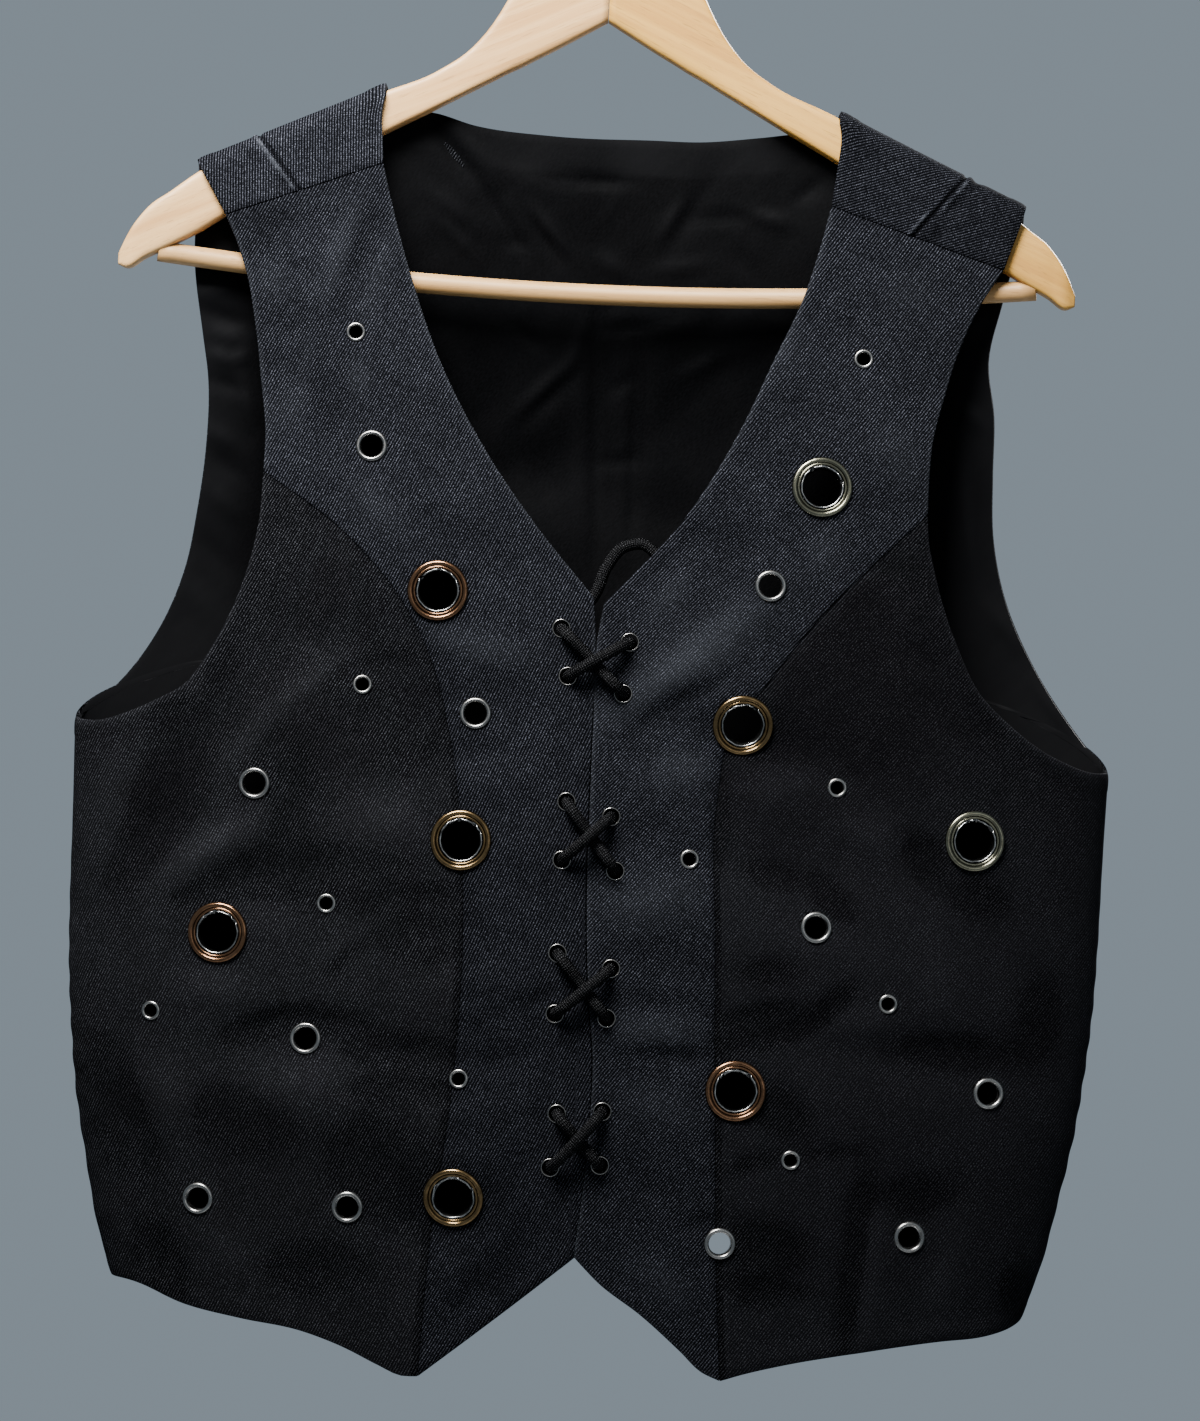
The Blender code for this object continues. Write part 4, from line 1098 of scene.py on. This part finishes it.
def denim(name, warp, weft, toned):
    """Twill with slanting wales of broken pale threads and slubs, paler where the tone is above 0
    from rubbing and painted light, and darker where it is below 0 from painted shade.
    """
    finish = Finish(
        name, Sheen_Weight=0.003, Sheen_Roughness=0.4, Sheen_Tint=(0.75, 0.8, 0.9),
        Specular_IOR_Level=0.008,
    )
    place = finish.place("wales")
    across, up_wale = finish.split(place)
    sway = finish.spread(finish.noise(place, 420, 2), -WALE_SWAY * MM, WALE_SWAY * MM)
    phase = finish.times(finish.plus(across, sway), 2 * math.pi / (WALE * MM))
    wale = finish.span(finish.math("SINE", phase), -0.5, 1)
    step = finish.times(up_wale, 2 * math.pi / (WALE_DASH * MM))
    dash = finish.span(finish.math("SINE", finish.plus(step, phase)), -1, 1, 0.55, 1)
    wale_top = finish.times(wale, dash)
    thread = finish.span(finish.noise(place, (2600, 1300, 1), 1), 0.32, 0.68, 0.3, 1.7)
    fleck = finish.span(finish.noise(place, (1900, 1100, 1), 1), 0.6, 0.74, 0, 1.6)
    shade = finish.times(wale_top, finish.plus(thread, fleck))
    share = finish.times(finish.math("POWER", shade, WALE_SHARPNESS), WALE_SHARE)
    slub = finish.noise(place, (300, 24, 1), 3, 0.6, turn=(0, 0, 0.55))
    cloud = finish.noise(place, 24, 3, 0.6)
    mottle = finish.noise(place, 110, 3, 0.65)
    patches = finish.times(finish.spread(cloud, *PATCHES), finish.spread(mottle, *PATCHES))
    uneven = finish.times(finish.spread(slub, *SLUBS), patches)
    twill = finish.node(
        "ShaderNodeVectorMath", {"Vector": finish.blend(share, weft, warp), "Scale": uneven},
        operation="SCALE",
    )
    tone = finish.tone()
    # The paler share stands for rubbing and for painted light.
    rubbed_and_lit = finish.times(finish.span(tone, 0, 1), finish.span(thread, 0.3, 1.6, 0.35, 1))
    pale = finish.blend(rubbed_and_lit, twill.outputs[0], toned)
    # Below 0 the tone paints shade, taking the colour towards near-black.
    finish.colour(finish.blend(finish.span(tone, 0, -1), pale, PAINTED_SHADE_COLOUR))
    finish.roughness(finish.span(wale, 0, 1, 0.95, 0.8))
    finish.relief(wale_top, 0.00007, 0.6)
    return finish.material


def lining_cloth():
    """Thin near-black lining with a slight shine and soft crumples; the tone paints sheen and
    light on it in a paler colour.
    """
    finish = Finish("black_lining", Specular_IOR_Level=0.03)
    place = finish.place("wales")
    crumple = finish.noise(place, (34, 12, 1), 3, turn=(0, 0, 0.75))
    weave = finish.noise(place, (1400, 500, 1), 1, turn=(0, 0, 0.8))
    shade = finish.plus(finish.times(crumple, 0.5), finish.times(weave, 0.5))
    dark, light, toned = LINING_TONES
    base = finish.blend(finish.span(shade, 0.35, 0.65), dark, light)
    finish.colour(finish.blend(finish.span(finish.tone(), 0, 1), base, toned))
    finish.roughness(finish.spread(crumple, 0.5, 0.65))
    finish.relief(crumple, 0.0016, 0.5)
    return finish.material


def plated(name, tint, shadow, roughness, patina):
    """Old plating, dark in its grooves, with darker patches and fine scratches."""
    finish = Finish(name, Metallic=1.0)
    place = finish.place()
    cloud = finish.noise(place, 330, 4, 0.6)
    scratch = finish.noise(place, (300, 900, 4200), 2)
    toned = finish.blend(finish.span(cloud, 0.35, 0.7, 0, patina), tint, shadow)
    finish.colour(finish.blend(finish.span(finish.tone(), 0, -1), toned, shadow))
    finish.roughness(finish.spread(cloud, roughness * 0.75, roughness * 1.4))
    finish.relief(finish.plus(cloud, scratch), 0.000018, 0.5)
    return finish.material


def wood(name, pale, deep, turn):
    """Lacquered beech with straight grain, fine pores and short flecks."""
    finish = Finish(name, Coat_Weight=0.08, Coat_Roughness=0.3, Specular_IOR_Level=0.3)
    board = finish.stretched(finish.place(), (1, 1, 1), (0, math.radians(turn), 0))
    grain = finish.noise(board, (7, 160, 330), 4, 0.6)
    ring = finish.noise(board, (2.5, 40, 95), 2)
    figure = finish.plus(finish.times(grain, 0.55), finish.times(ring, 0.45))
    base = finish.blend(finish.span(figure, 0.4, 0.6), pale, deep)
    pores = finish.span(finish.noise(board, (90, 900, 1500), 2), 0.6, 0.72, 0, 0.5)
    finish.colour(finish.blend(pores, base, [0.5 * part for part in deep]))
    finish.roughness(finish.spread(grain, 0.38, 0.52))
    finish.relief(grain, 0.00012, 0.5)
    return finish.material


def braided_cord():
    """Black braid with slanting strands and pale flecks."""
    finish = Finish("black_braid", Specular_IOR_Level=0.03, Roughness=0.6)
    place = finish.place("round")
    round_cord, along_cord = finish.split(place)
    turn = finish.times(round_cord, BRAID_TURNS * 2 * math.pi)
    run = finish.times(along_cord, 2 * math.pi / (BRAID_LENGTH * MM))
    one_way = finish.math("SINE", finish.plus(turn, run))
    other_way = finish.math("SINE", finish.math("SUBTRACT", turn, run))
    braid = finish.span(finish.times(one_way, other_way), -1, 1)
    thread = finish.noise(place, (160, 2600, 1), 2)
    fleck = finish.times(finish.span(braid, 0.45, 0.85), finish.span(thread, 0.54, 0.68))
    finish.colour(finish.blend(fleck, *BRAID_TONES))
    finish.relief(finish.plus(braid, finish.times(thread, 0.4)), 0.00035, 1.0)
    return finish.material


def steel_wire():
    finish = Finish("plated_wire", Metallic=1.0)
    smear = finish.noise(finish.place(), 90, 3)
    finish.colour(finish.blend(smear, *WIRE_TONES))
    finish.roughness(finish.spread(smear, 0.16, 0.28))
    finish.relief(smear, 0.00003, 0.4)
    return finish.material


FINISHES = {
    **{name: denim(name, *colours) for name, colours in DENIMS.items()},
    "black_lining": lining_cloth(),
    **{name: plated(name, *values) for name, values in METALS.items()},
    **{name: wood(name, *values) for name, values in WOODS.items()},
    "black_braid": braided_cord(),
    "plated_wire": steel_wire(),
}


# ---- cloth ---------------------------------------------------------------------------------


def side_seam(hand, start, end, steps):
    drop = np.linspace(start, end, steps + 1)
    return np.column_stack([CENTRE_X + hand * body(HALF_WIDTH, drop), drop])


def front_centre(hand):
    """A centre front with its shoulder strap, between the princess seam and the neck."""
    seam = shifted(along(PRINCESS_SEAM[hand], SEAM_STEPS * FINER), -hand * SEAM_GAP / 2)
    armhole = along(ARMHOLE_TOP[hand], TOP_STEPS * FINER)
    armhole[0, 1] += SEAM_GAP / 2
    armhole[-1] = seam[0]
    outer = joined(armhole, seam)
    neck = along(NECK_EDGE[hand], NECK_STEPS * FINER)
    neck[0, 1] += SEAM_GAP / 2
    inner = joined(neck, along(CENTRE_EDGE[hand], CENTRE_STEPS * FINER))
    top = along(YOKE_SEAM[hand][::-1], PANEL_COLUMNS * FINER)
    top[:, 1] += SEAM_GAP / 2
    hem = along(HEM_CENTRE[hand], PANEL_COLUMNS * FINER)
    cloth = sheet_cloth(f"front_centre_{WORDS[hand]}", FRONT, outer, inner, top, hem)
    cloth.wear_and_painted_light()
    cloth.sew("top", gathers=0)
    cloth.sew("left", rows=slice(TOP_STEPS * FINER, None))
    cloth.turn_edge("left", rows=slice(0, TOP_STEPS * FINER))
    cloth.turn_edge("right")
    cloth.turn_edge("bottom")
    return cloth


def front_side(hand):
    """A side front, between the side seam and the princess seam."""
    seam = shifted(along(PRINCESS_SEAM[hand], SEAM_STEPS * FINER), hand * SEAM_GAP / 2)
    armhole = along_round(ARMHOLE_LOW[hand], SIDE_COLUMNS * FINER)
    hem = along_round(HEM_SIDE[hand], SIDE_COLUMNS * FINER)
    outer = side_seam(hand, ARMHOLE_LOW[hand][0][1], HEM_SIDE[hand][0][1], SEAM_STEPS * FINER)
    cloth = sheet_cloth(f"front_side_{WORDS[hand]}", FRONT, outer, seam, armhole, hem)
    cloth.wear_and_painted_light()
    cloth.sew("right")
    cloth.sew("left")
    cloth.turn_edge("top")
    cloth.turn_edge("bottom")
    return cloth


def back_yoke_seam(hand, steps):
    """Where a yoke ends, just behind the ridge, from the neck outwards."""
    x = np.linspace(*RIDGE_ENDS[hand], steps + 1)
    return np.column_stack([x, ridge_drop(x) + YOKE_ARC_HEIGHT])


def back_sheet(name, finer):
    """The whole back, below the yokes."""
    edges = {}
    for hand, end in ((LEFT, 0), (RIGHT, -1)):
        armhole = along(ARMHOLE_BACK[hand], BACK_ARMHOLE_ROWS * finer)
        low = side_seam(hand, armhole[-1, 1], BACK_HEM[end][1], BACK_SIDE_ROWS * finer)
        edges[hand] = joined(armhole, low)
    neck = along(BACK_NECK, BACK_NECK_COLUMNS * finer)
    left_seam = back_yoke_seam(LEFT, BACK_SEAM_COLUMNS * finer)[::-1]
    right_seam = back_yoke_seam(RIGHT, BACK_SEAM_COLUMNS * finer)
    neck[0], neck[-1] = left_seam[-1], right_seam[0]
    top = joined(left_seam, neck, right_seam)
    top[:, 1] += GAP
    edges[LEFT][0], edges[RIGHT][0] = top[0], top[-1]
    hem = along_round(BACK_HEM, (BACK_SEAM_COLUMNS * 2 + BACK_NECK_COLUMNS) * finer)
    return sheet_cloth(name, BACK, edges[LEFT], edges[RIGHT], top, hem)


def back_panel():
    cloth = back_sheet("back_panel", FINER_BACK)
    low = BACK_ARMHOLE_ROWS * FINER_BACK
    for edge in ("left", "right"):
        cloth.sew(edge, rows=slice(low, None))
        cloth.turn_edge(edge, rows=slice(0, low))
    cloth.turn_edge("bottom")
    return cloth


def back_lining():
    """The lining inside the back, drawn in a little from the edges and creased, with painted sheen
    on the crease ridges and on the band below the neck, and painted light towards the armholes.
    """
    cloth = back_sheet("back_lining", FINER_LINING)
    x, drop = cloth.place()
    height = fold_height(LINING_CREASES, x, drop)
    cloth.move(-(DENIM + LINING_GAP + height))
    below_neck = drop - np.interp(x, *np.array(BACK_NECK).T)
    facing = soft_step((FACING - below_neck) / FACING_FADE)
    short, long = (x / length for length in FACING_WAVES)
    facing = facing * (0.55 + 0.45 * np.sin(short) * np.sin(long + 1))
    armhole = soft_step((abs(x) - ARMHOLE_FROM) / ARMHOLE_FADE)
    # Painted sheen on the crease ridges and the neck band, and painted light towards the armholes.
    cloth.tone += CREASE_PAINTED_SHEEN * height + FACING_PAINTED_SHEEN * facing + ARMHOLE_PAINTED_LIGHT * armhole
    return cloth


def yoke(hand):
    """A shoulder yoke, from its front seam over the ridge to its back seam."""
    inner, outer = (np.array(point, float) for point in YOKE_SEAM[hand])
    columns = YOKE_COLUMNS * YOKE_FINER
    share = np.linspace(0, 1, columns + 1)[:, None]
    front_x, front_drop = (inner + (outer - inner) * share - (0, SEAM_GAP / 2)).T
    ridge_x, spring = back_yoke_seam(hand, columns).T
    ridge = spring - YOKE_ARC_HEIGHT
    legs, arcs = YOKE_LEG_ROWS * YOKE_FINER, YOKE_ARC_ROWS * YOKE_ARC_FINER
    steps = [
        (front_drop + (spring - front_drop) * step / legs, -YOKE_OFFSET[FRONT])
        for step in range(legs)
    ]
    for angle in np.linspace(0, math.pi, arcs + 1):
        offset = -YOKE_OFFSET[FRONT if angle < math.pi / 2 else BACK] * math.cos(angle)
        steps.append((spring - YOKE_ARC_HEIGHT * math.sin(angle), offset))
    rows = []
    for drop, offset in steps:
        lean = (drop - ridge) / (front_drop - ridge) * (offset < 0)
        x = ridge_x + (front_x - ridge_x) * lean
        rows.append(np.column_stack([x, arm_bow(x) + offset, -drop]))
    points = np.array(rows)
    down = np.gradient(points, axis=0, edge_order=2)
    over = np.gradient(points, axis=1, edge_order=2)
    normals = unit(np.cross(down, over))
    if normals.sum(axis=(0, 1))[2] < 0:
        normals = -normals
    lengths = np.linalg.norm(np.diff(points, axis=0), axis=-1)
    run = np.concatenate([np.zeros((1, columns + 1)), np.cumsum(lengths, axis=0)])
    flat = np.stack([points[..., 0], front_drop - run], axis=-1)
    cloth = Cloth(f"yoke_{WORDS[hand]}", points, normals, flat)
    cloth.sew("top", gathers=0)
    cloth.turn_edge("left")
    cloth.turn_edge("right")
    wear_and_shade_yoke_seam(cloth, hand)
    curl_yoke(cloth, hand)
    return cloth


def wear_and_shade_yoke_seam(cloth, hand):
    """The old seam across the yoke: a sunk line with a paler ridge beside it from rubbing, and
    painted shade in the line, in the dents, at the outer end and over the whole right yoke.
    """
    ridge_end, front_end = (np.array(point, float) for point in YOKE_WORN[hand])
    way = unit(front_end - ridge_end)
    x, drop = cloth.place()
    distance = (x - ridge_end[0]) * way[1] - (drop - ridge_end[1]) * way[0]
    run = (x - ridge_end[0]) * way[0] + (drop - ridge_end[1]) * way[1]
    inner = soft_step((run - YOKE_WORN_SWAP[hand]) / SWAP_FADE)
    ridge = (1 - inner) * bump(distance - WORN_RIDGE_AT, WORN_RIDGE_REACH)
    ridge = ridge + inner * bump(distance + WORN_RIDGE_AT, WORN_RIDGE_REACH)
    short, long = (run * rate for rate in WORN_GATHERS)
    ridge = ridge * (0.75 + 0.25 * np.sin(short) * np.sin(long + 1))
    line = bump(distance, WORN_LINE_REACH)
    dents = fold_height(YOKE_DENTS[hand], x, drop)
    outer = soft_step((abs(x) - abs(ridge_end[0])) / YOKE_OUTER_FADE)
    cloth.move(WORN_RIDGE * ridge - WORN_LINE * line + dents)
    cloth.tone += YOKE_RUB[hand] * ridge - WORN_LINE_SHADE * line + DENT_SHADE * dents
    cloth.tone -= YOKE_OUTER_SHADE[hand] * outer + YOKE_SHADE[hand]


def curl_yoke(cloth, hand):
    """The neck end of the yoke curls up into a small point at the ridge."""
    x, drop = cloth.place()
    from_end = abs(x) - abs(RIDGE_ENDS[hand][0])
    above = bump(np.minimum(ridge_drop(x) + CURL_REACH - drop, 0), CURL_REACH)
    pull = bump(np.maximum(from_end, 0), CURL_REACH) * above
    cloth.points[..., 0] -= hand * CURL_INWARDS * pull
    cloth.points[..., 2] += CURL_UP * pull


def make_cloth():
    """All cut pieces, sewn where they lie; the fronts are returned for the eyelets."""
    fronts = {}
    # The left yoke's paler copy of washed denim is painted light; the right side front's darker
    # copy of charcoal denim is painted shade.
    for hand, side_finish, yoke_finish in (
        (LEFT, "charcoal_denim", "washed_denim_painted_lit"), (RIGHT, "charcoal_denim_painted_shade", "washed_denim"),
    ):
        for cloth, finish, slot in (
            (front_centre(hand), "washed_denim", "denim_blue"),
            (front_side(hand), side_finish, "denim_dark"),
        ):
            fronts[cloth.name] = cloth
            cloth_wall(cloth, DENIM, finish, slot)
        cloth_wall(yoke(hand), YOKE, yoke_finish, "denim_blue")
    cloth_wall(back_panel(), DENIM, "charcoal_denim", "denim_dark")
    cloth_wall(back_lining(), LINING, "black_lining", "lining")
    return fronts


# ---- eyelets -------------------------------------------------------------------------------


class Eyelet:
    """One eyelet seated on the fronts, with its own straight axis."""

    def __init__(self, name, kind, place, trees):
        self.name, self.kind = name, kind
        x, drop = place
        outer = EYELETS[kind][0]
        spots = [(0, 0)]
        for share in SEAT_RINGS:
            for angle in np.arange(SEAT_POINTS) * 2 * math.pi / SEAT_POINTS:
                spots.append((share * outer * math.cos(angle), share * outer * math.sin(angle)))
        found = []
        self.panels = set()
        for over, up in spots:
            start = Vector(((x + over) * MM, RAY_START, (up - drop) * MM))
            for panel, tree in trees.items():
                hit = tree.ray_cast(start, Vector((0, 1, 0)))[0]
                if hit is not None:
                    found.append(np.array(hit) / MM)
                    self.panels.add(panel)
        found = np.array(found)
        middle = found.mean(axis=0)
        normal = np.linalg.svd(found - middle)[2][2]
        self.normal = normal if normal[1] < 0 else -normal
        heights = (found - middle) @ self.normal
        marked = np.array([x, middle[1], -drop])
        self.centre = marked - (marked - middle) @ self.normal * self.normal
        self.face = np.percentile(heights, SEAT_SHARE)
        self.back = heights.min() - DENIM - GAP

    def seat(self):
        turn = Vector((0, 0, 1)).rotation_difference(Vector(self.normal))
        return Matrix.Translation(Vector(self.centre) * MM) @ turn.to_matrix().to_4x4()


def face_tree(cloth):
    """A search tree of a piece's outer face."""
    shape, spot = flat_grid(cloth)
    for vert in shape.verts:
        vert.co = Vector(cloth.points[spot(vert)] * MM)
    tree = BVHTree.FromBMesh(shape)
    shape.free()
    return tree


def dome_profile(eyelet):
    """A plain eyelet's wall: a low domed rim, its barrel, and the foot rolled behind."""
    outer, bore, barrel, rise, foot_depth = EYELETS[eyelet.kind]
    face, back = eyelet.face, eyelet.back
    width = outer - bore
    rim = [
        (outer - share * width, face + RIM_LIFT + rise * math.sin(math.pi * share) ** RIM_FULLNESS)
        for share in RIM_STATIONS
    ]
    roll = [(bore, face - 0.1 * rise), (bore, back - foot_depth)]
    foot = [(outer - 0.3 * width, back - foot_depth), (outer - 0.1 * width, back)]
    sunk = face - RIM_SINK
    return rim + roll + foot + [(barrel, back), (barrel, sunk), (outer, sunk)]


def raised(profile, level):
    """A profile's rows with their heights measured from a level."""
    return [(radius, level + height, grime) for radius, height, grime in profile]


def torn_barrel(eyelet, seed):
    """The split barrel: its lip is curled over the washer in uneven, torn leaves."""
    draw = np.random.default_rng(seed)
    turns = draw.uniform(*TEAR_TURNS, TEARS)
    depths = draw.uniform(*TEAR_DEPTHS, TEARS)
    waves = draw.uniform(0, 2 * math.pi, len(LIP_WAVES))

    def shape_ring(point):
        radius, height = math.hypot(point.x, point.y) / MM, point.z / MM
        if height < eyelet.face - LIP_FROM:
            return point
        angle = math.atan2(point.y, point.x)
        gap = sum(
            depth * bump(math.remainder(angle - turn, 2 * math.pi), TEAR_WIDTH)
            for turn, depth in zip(turns, depths)
        )
        curl = sum(math.sin(count * angle + wave) for count, wave in zip(LIP_WAVES, waves))
        curl = curl / len(LIP_WAVES)
        lip = soft_step((height - eyelet.face + LIP_FROM) / LIP_RISE)
        radius += lip * (CURL_OUT * curl + TEAR_OUT * gap)
        height += lip * (CURL_LIFT * curl - TEAR_DROP * gap)
        return Vector((radius * math.cos(angle), radius * math.sin(angle), height)) * MM

    lip, shoulder = raised(BARREL_LIP, eyelet.face), raised(BARREL_SHOULDER, eyelet.face)
    turned(
        f"{eyelet.name}_barrel", lip + raised(BARREL_FOOT, eyelet.back) + shoulder,
        "torn_steel", "nickel", eyelet.seat(), steps=BARREL_STEPS, shape_ring=shape_ring,
    )


def make_eyelets(fronts):
    trees = {name: face_tree(cloth) for name, cloth in fronts.items()}
    eyelets = []
    for kind, places in EYELET_PLACES.items():
        for number, place in enumerate(places, 1):
            name = f"lace_eyelet_{number}" if kind == "lacing" else f"eyelet_{kind}_{number}"
            eyelet = Eyelet(name, kind, place, trees)
            eyelets.append(eyelet)
            if kind == "large":
                slot = LARGE_PLATING[number - 1]
                turned(
                    f"{name}_washer", raised(WASHER, eyelet.face), PLATING[slot], slot,
                    eyelet.seat(), nodes=(name,),
                )
                torn_barrel(eyelet, number)
            else:
                turned(
                    f"{name}_rim", dome_profile(eyelet), "satin_nickel", "nickel", eyelet.seat(),
                    nodes=(name,),
                )
    for panel in fronts:
        punch(panel, [eyelet for eyelet in eyelets if panel in eyelet.panels])
    return [eyelet for eyelet in eyelets if eyelet.kind == "lacing"]


def punch(panel, eyelets):
    """Cuts the eyelets' holes through a piece of cloth."""
    shape = bmesh.new()
    for eyelet in eyelets:
        radius = (EYELETS[eyelet.kind][2] + HOLE_ROOM) * MM
        bmesh.ops.create_cone(
            shape, cap_ends=True, segments=HOLE_SIDES, radius1=radius, radius2=radius,
            depth=PUNCH_LENGTH * MM, matrix=eyelet.seat(),
        )
    cutter = link_object("punch", mesh_from("punch", shape))
    item = bpy.data.objects[f"{panel}_cloth"]
    tool = item.modifiers.new("holes", "BOOLEAN")
    tool.object = cutter
    tool.solver = "EXACT"
    settle(item)
    bpy.data.objects.remove(cutter)


# ---- lace ----------------------------------------------------------------------------------


def behind_front(x, drop, depth):
    return np.array([x, outer_y(FRONT, x, drop) + depth, -drop])


def one_pass(eyelet, front_way, back_way):
    """Three points of the lace in an eyelet, from inside the garment to its face."""
    points = []
    for way, (over, out) in (
        (back_way, PASS_INSIDE), (front_way, PASS_MIDDLE), (front_way, PASS_OUTSIDE),
    ):
        flat = unit(way - (way @ eyelet.normal) * eyelet.normal)
        points.append(eyelet.centre + over * flat + out * eyelet.normal)
    return points


def crossing(first, second, over):
    """Points of a strand half way between two eyelets, above or below the other strand."""
    middle = (first.centre + second.centre) / 2
    normal = (first.normal + second.normal) / 2
    if not over:
        return [middle + UNDER_HEIGHT * normal]
    run = unit(second.centre - first.centre)
    return [middle + OVER_HEIGHT * normal + step * OVER_SPREAD * run for step in (-1, 1)]


def lace_route(eyelets):
    """From the end behind the loop, down the front in crossings, and up to the hidden end."""
    order = [eyelets[number - 1] for number in LACE_ORDER]
    loop = [behind_front(*place) for place in LOOP]
    hidden = [behind_front(*place) for place in HIDDEN_END]
    route = list(loop)
    for index in range(0, len(order), 2):
        enter, leave = order[index], order[index + 1]
        before = loop[-1] if index == 0 else order[index - 1].centre
        after = hidden[0] if index + 2 == len(order) else order[index + 2].centre
        run = leave.centre - enter.centre
        route += one_pass(enter, run, before - enter.centre)
        route += crossing(enter, leave, over=run[0] * run[2] > 0)
        route += one_pass(leave, -run, after - leave.centre)[::-1]
        if index + 2 < len(order):
            route.append((leave.centre + after) / 2 - RUN_DEPTH * leave.normal)
    return np.array(route + hidden)


def make_lace(eyelets):
    """The braided lace, with its strands raised a little."""
    route = lace_route(eyelets)
    path = along(route, int(run_of(route)[-1] / LACE_STEP))

    def relief(angles, run):
        turn, along_cord = STRANDS * angles, run * 2 * math.pi / STRAND_LENGTH
        return 1 + STRAND_RISE * np.sin(turn + along_cord) * np.sin(turn - along_cord)

    rings, runs = tube_rings(path, LACE_RADIUS, LACE_SIDES, relief)
    item = add_object("lace_cord", extruded("lace", rings, runs), "black_braid", "cord", "lace")


# ---- hanger --------------------------------------------------------------------------------


def arm_rings(hand):
    table = np.array(ARM, float)
    spread = 1 - (1 - np.linspace(0, 1, ARM_STATIONS)) ** ARM_TIP_CROWDING
    reaches = table[0, 0] + (table[-1, 0] - table[0, 0]) * spread
    angles = (np.arange(ARM_SECTION_POINTS) + 0.5) * 2 * math.pi / ARM_SECTION_POINTS
    flat, high = (
        np.sign(wave) * abs(wave) ** ARM_SQUARENESS for wave in (np.cos(angles), np.sin(angles))
    )
    rings = []
    for reach, top, underside, half in between(reaches, table[:, 0], table):
        drop = (top + underside) / 2 - high * (underside - top) / 2
        x = np.full(len(angles), hand * reach)
        rings.append(np.column_stack([x, arm_bow(reach) + flat * half, -drop]))
    return rings


def bar_line():
    x = np.linspace(-BAR_REACH, BAR_REACH, BAR_STEPS + 1)
    drop = BAR_DROP - BAR_RISE * (x / BAR_REACH) ** 2
    return np.column_stack([x, arm_bow(x), -drop])


def hook_line():
    radius = HOOK_INNER + HOOK_WIRE
    start, end = (math.radians(angle) for angle in HOOK_ARC)
    points = [(x, 0, -drop) for x, drop in SHANK]
    for angle in np.linspace(start, end, HOOK_ARC_STEPS + 1):
        points.append((radius * math.cos(angle), 0, radius * math.sin(angle) - HOOK_INNER))
    return along(points, HOOK_STEPS)


def make_hanger():
    for hand, finish in ((LEFT, "pale_beech"), (RIGHT, "golden_beech")):
        name = f"hanger_arm_{WORDS[hand]}"
        add_object(f"{name}_wood", extruded(name, arm_rings(hand)), finish, "wood", name)
    rings, _ = tube_rings(bar_line(), BAR_RADIUS, BAR_SIDES)
    add_object("hanger_bar_wood", extruded("hanger_bar", rings), "bar_beech", "wood", "hanger_bar")
    rings, _ = tube_rings(hook_line(), HOOK_WIRE, HOOK_SIDES)
    hook = extruded("hanger_hook", rings)
    add_object("hanger_hook_wire", hook, "plated_wire", "steel", "hanger_hook")


# ---- floor, light and camera ---------------------------------------------------------------


def make_stage():
    shape = bmesh.new()
    bmesh.ops.create_circle(shape, cap_ends=True, segments=FLOOR_SIDES, radius=FLOOR_RADIUS)
    bmesh.ops.translate(shape, vec=(0, 0, FLOOR_Z), verts=shape.verts)
    floor = link_object("floor", mesh_from("floor", shape, recalculate=False))
    finish = Finish("floor_paint", Roughness=0.8)
    finish.colour(finish.blend(finish.noise(finish.place(), 2.0, 2), *FLOOR_GREYS))
    floor.data.materials.append(finish.material)
    world = bpy.data.worlds.new("studio")
    world.use_nodes = True
    background = world.node_tree.nodes["Background"]
    background.inputs["Color"].default_value = (*WALL, 1)
    background.inputs["Strength"].default_value = 1.0
    bpy.context.scene.world = world


def make_lights():
    for name, (place, aim, side, power, spread) in LIGHTS.items():
        light = bpy.data.lights.new(name, "AREA")
        light.shape = "RECTANGLE"
        light.size = light.size_y = side
        light.energy = power
        light.spread = math.radians(spread)
        item = link_object(name, light)
        item.location = place
        way = Vector(aim) - Vector(place)
        item.rotation_euler = way.to_track_quat("-Z", "Y").to_euler()
        item.visible_camera = False


def make_camera():
    camera = bpy.data.cameras.new("camera")
    camera.sensor_width = SENSOR
    camera.lens = SENSOR * -CAMERA_AT[1] / FRAME_HEIGHT
    item = link_object("camera", camera)
    item.location = CAMERA_AT
    upright = Matrix.Rotation(math.radians(90), 4, "X")
    roll = Matrix.Rotation(CAMERA_ROLL, 4, "Z")
    item.rotation_euler = (upright @ roll).to_euler()
    bpy.context.scene.camera = item


make_camera()
make_lace(make_eyelets(make_cloth()))
make_hanger()
make_stage()
make_lights()

bpy.context.view_layer.update()
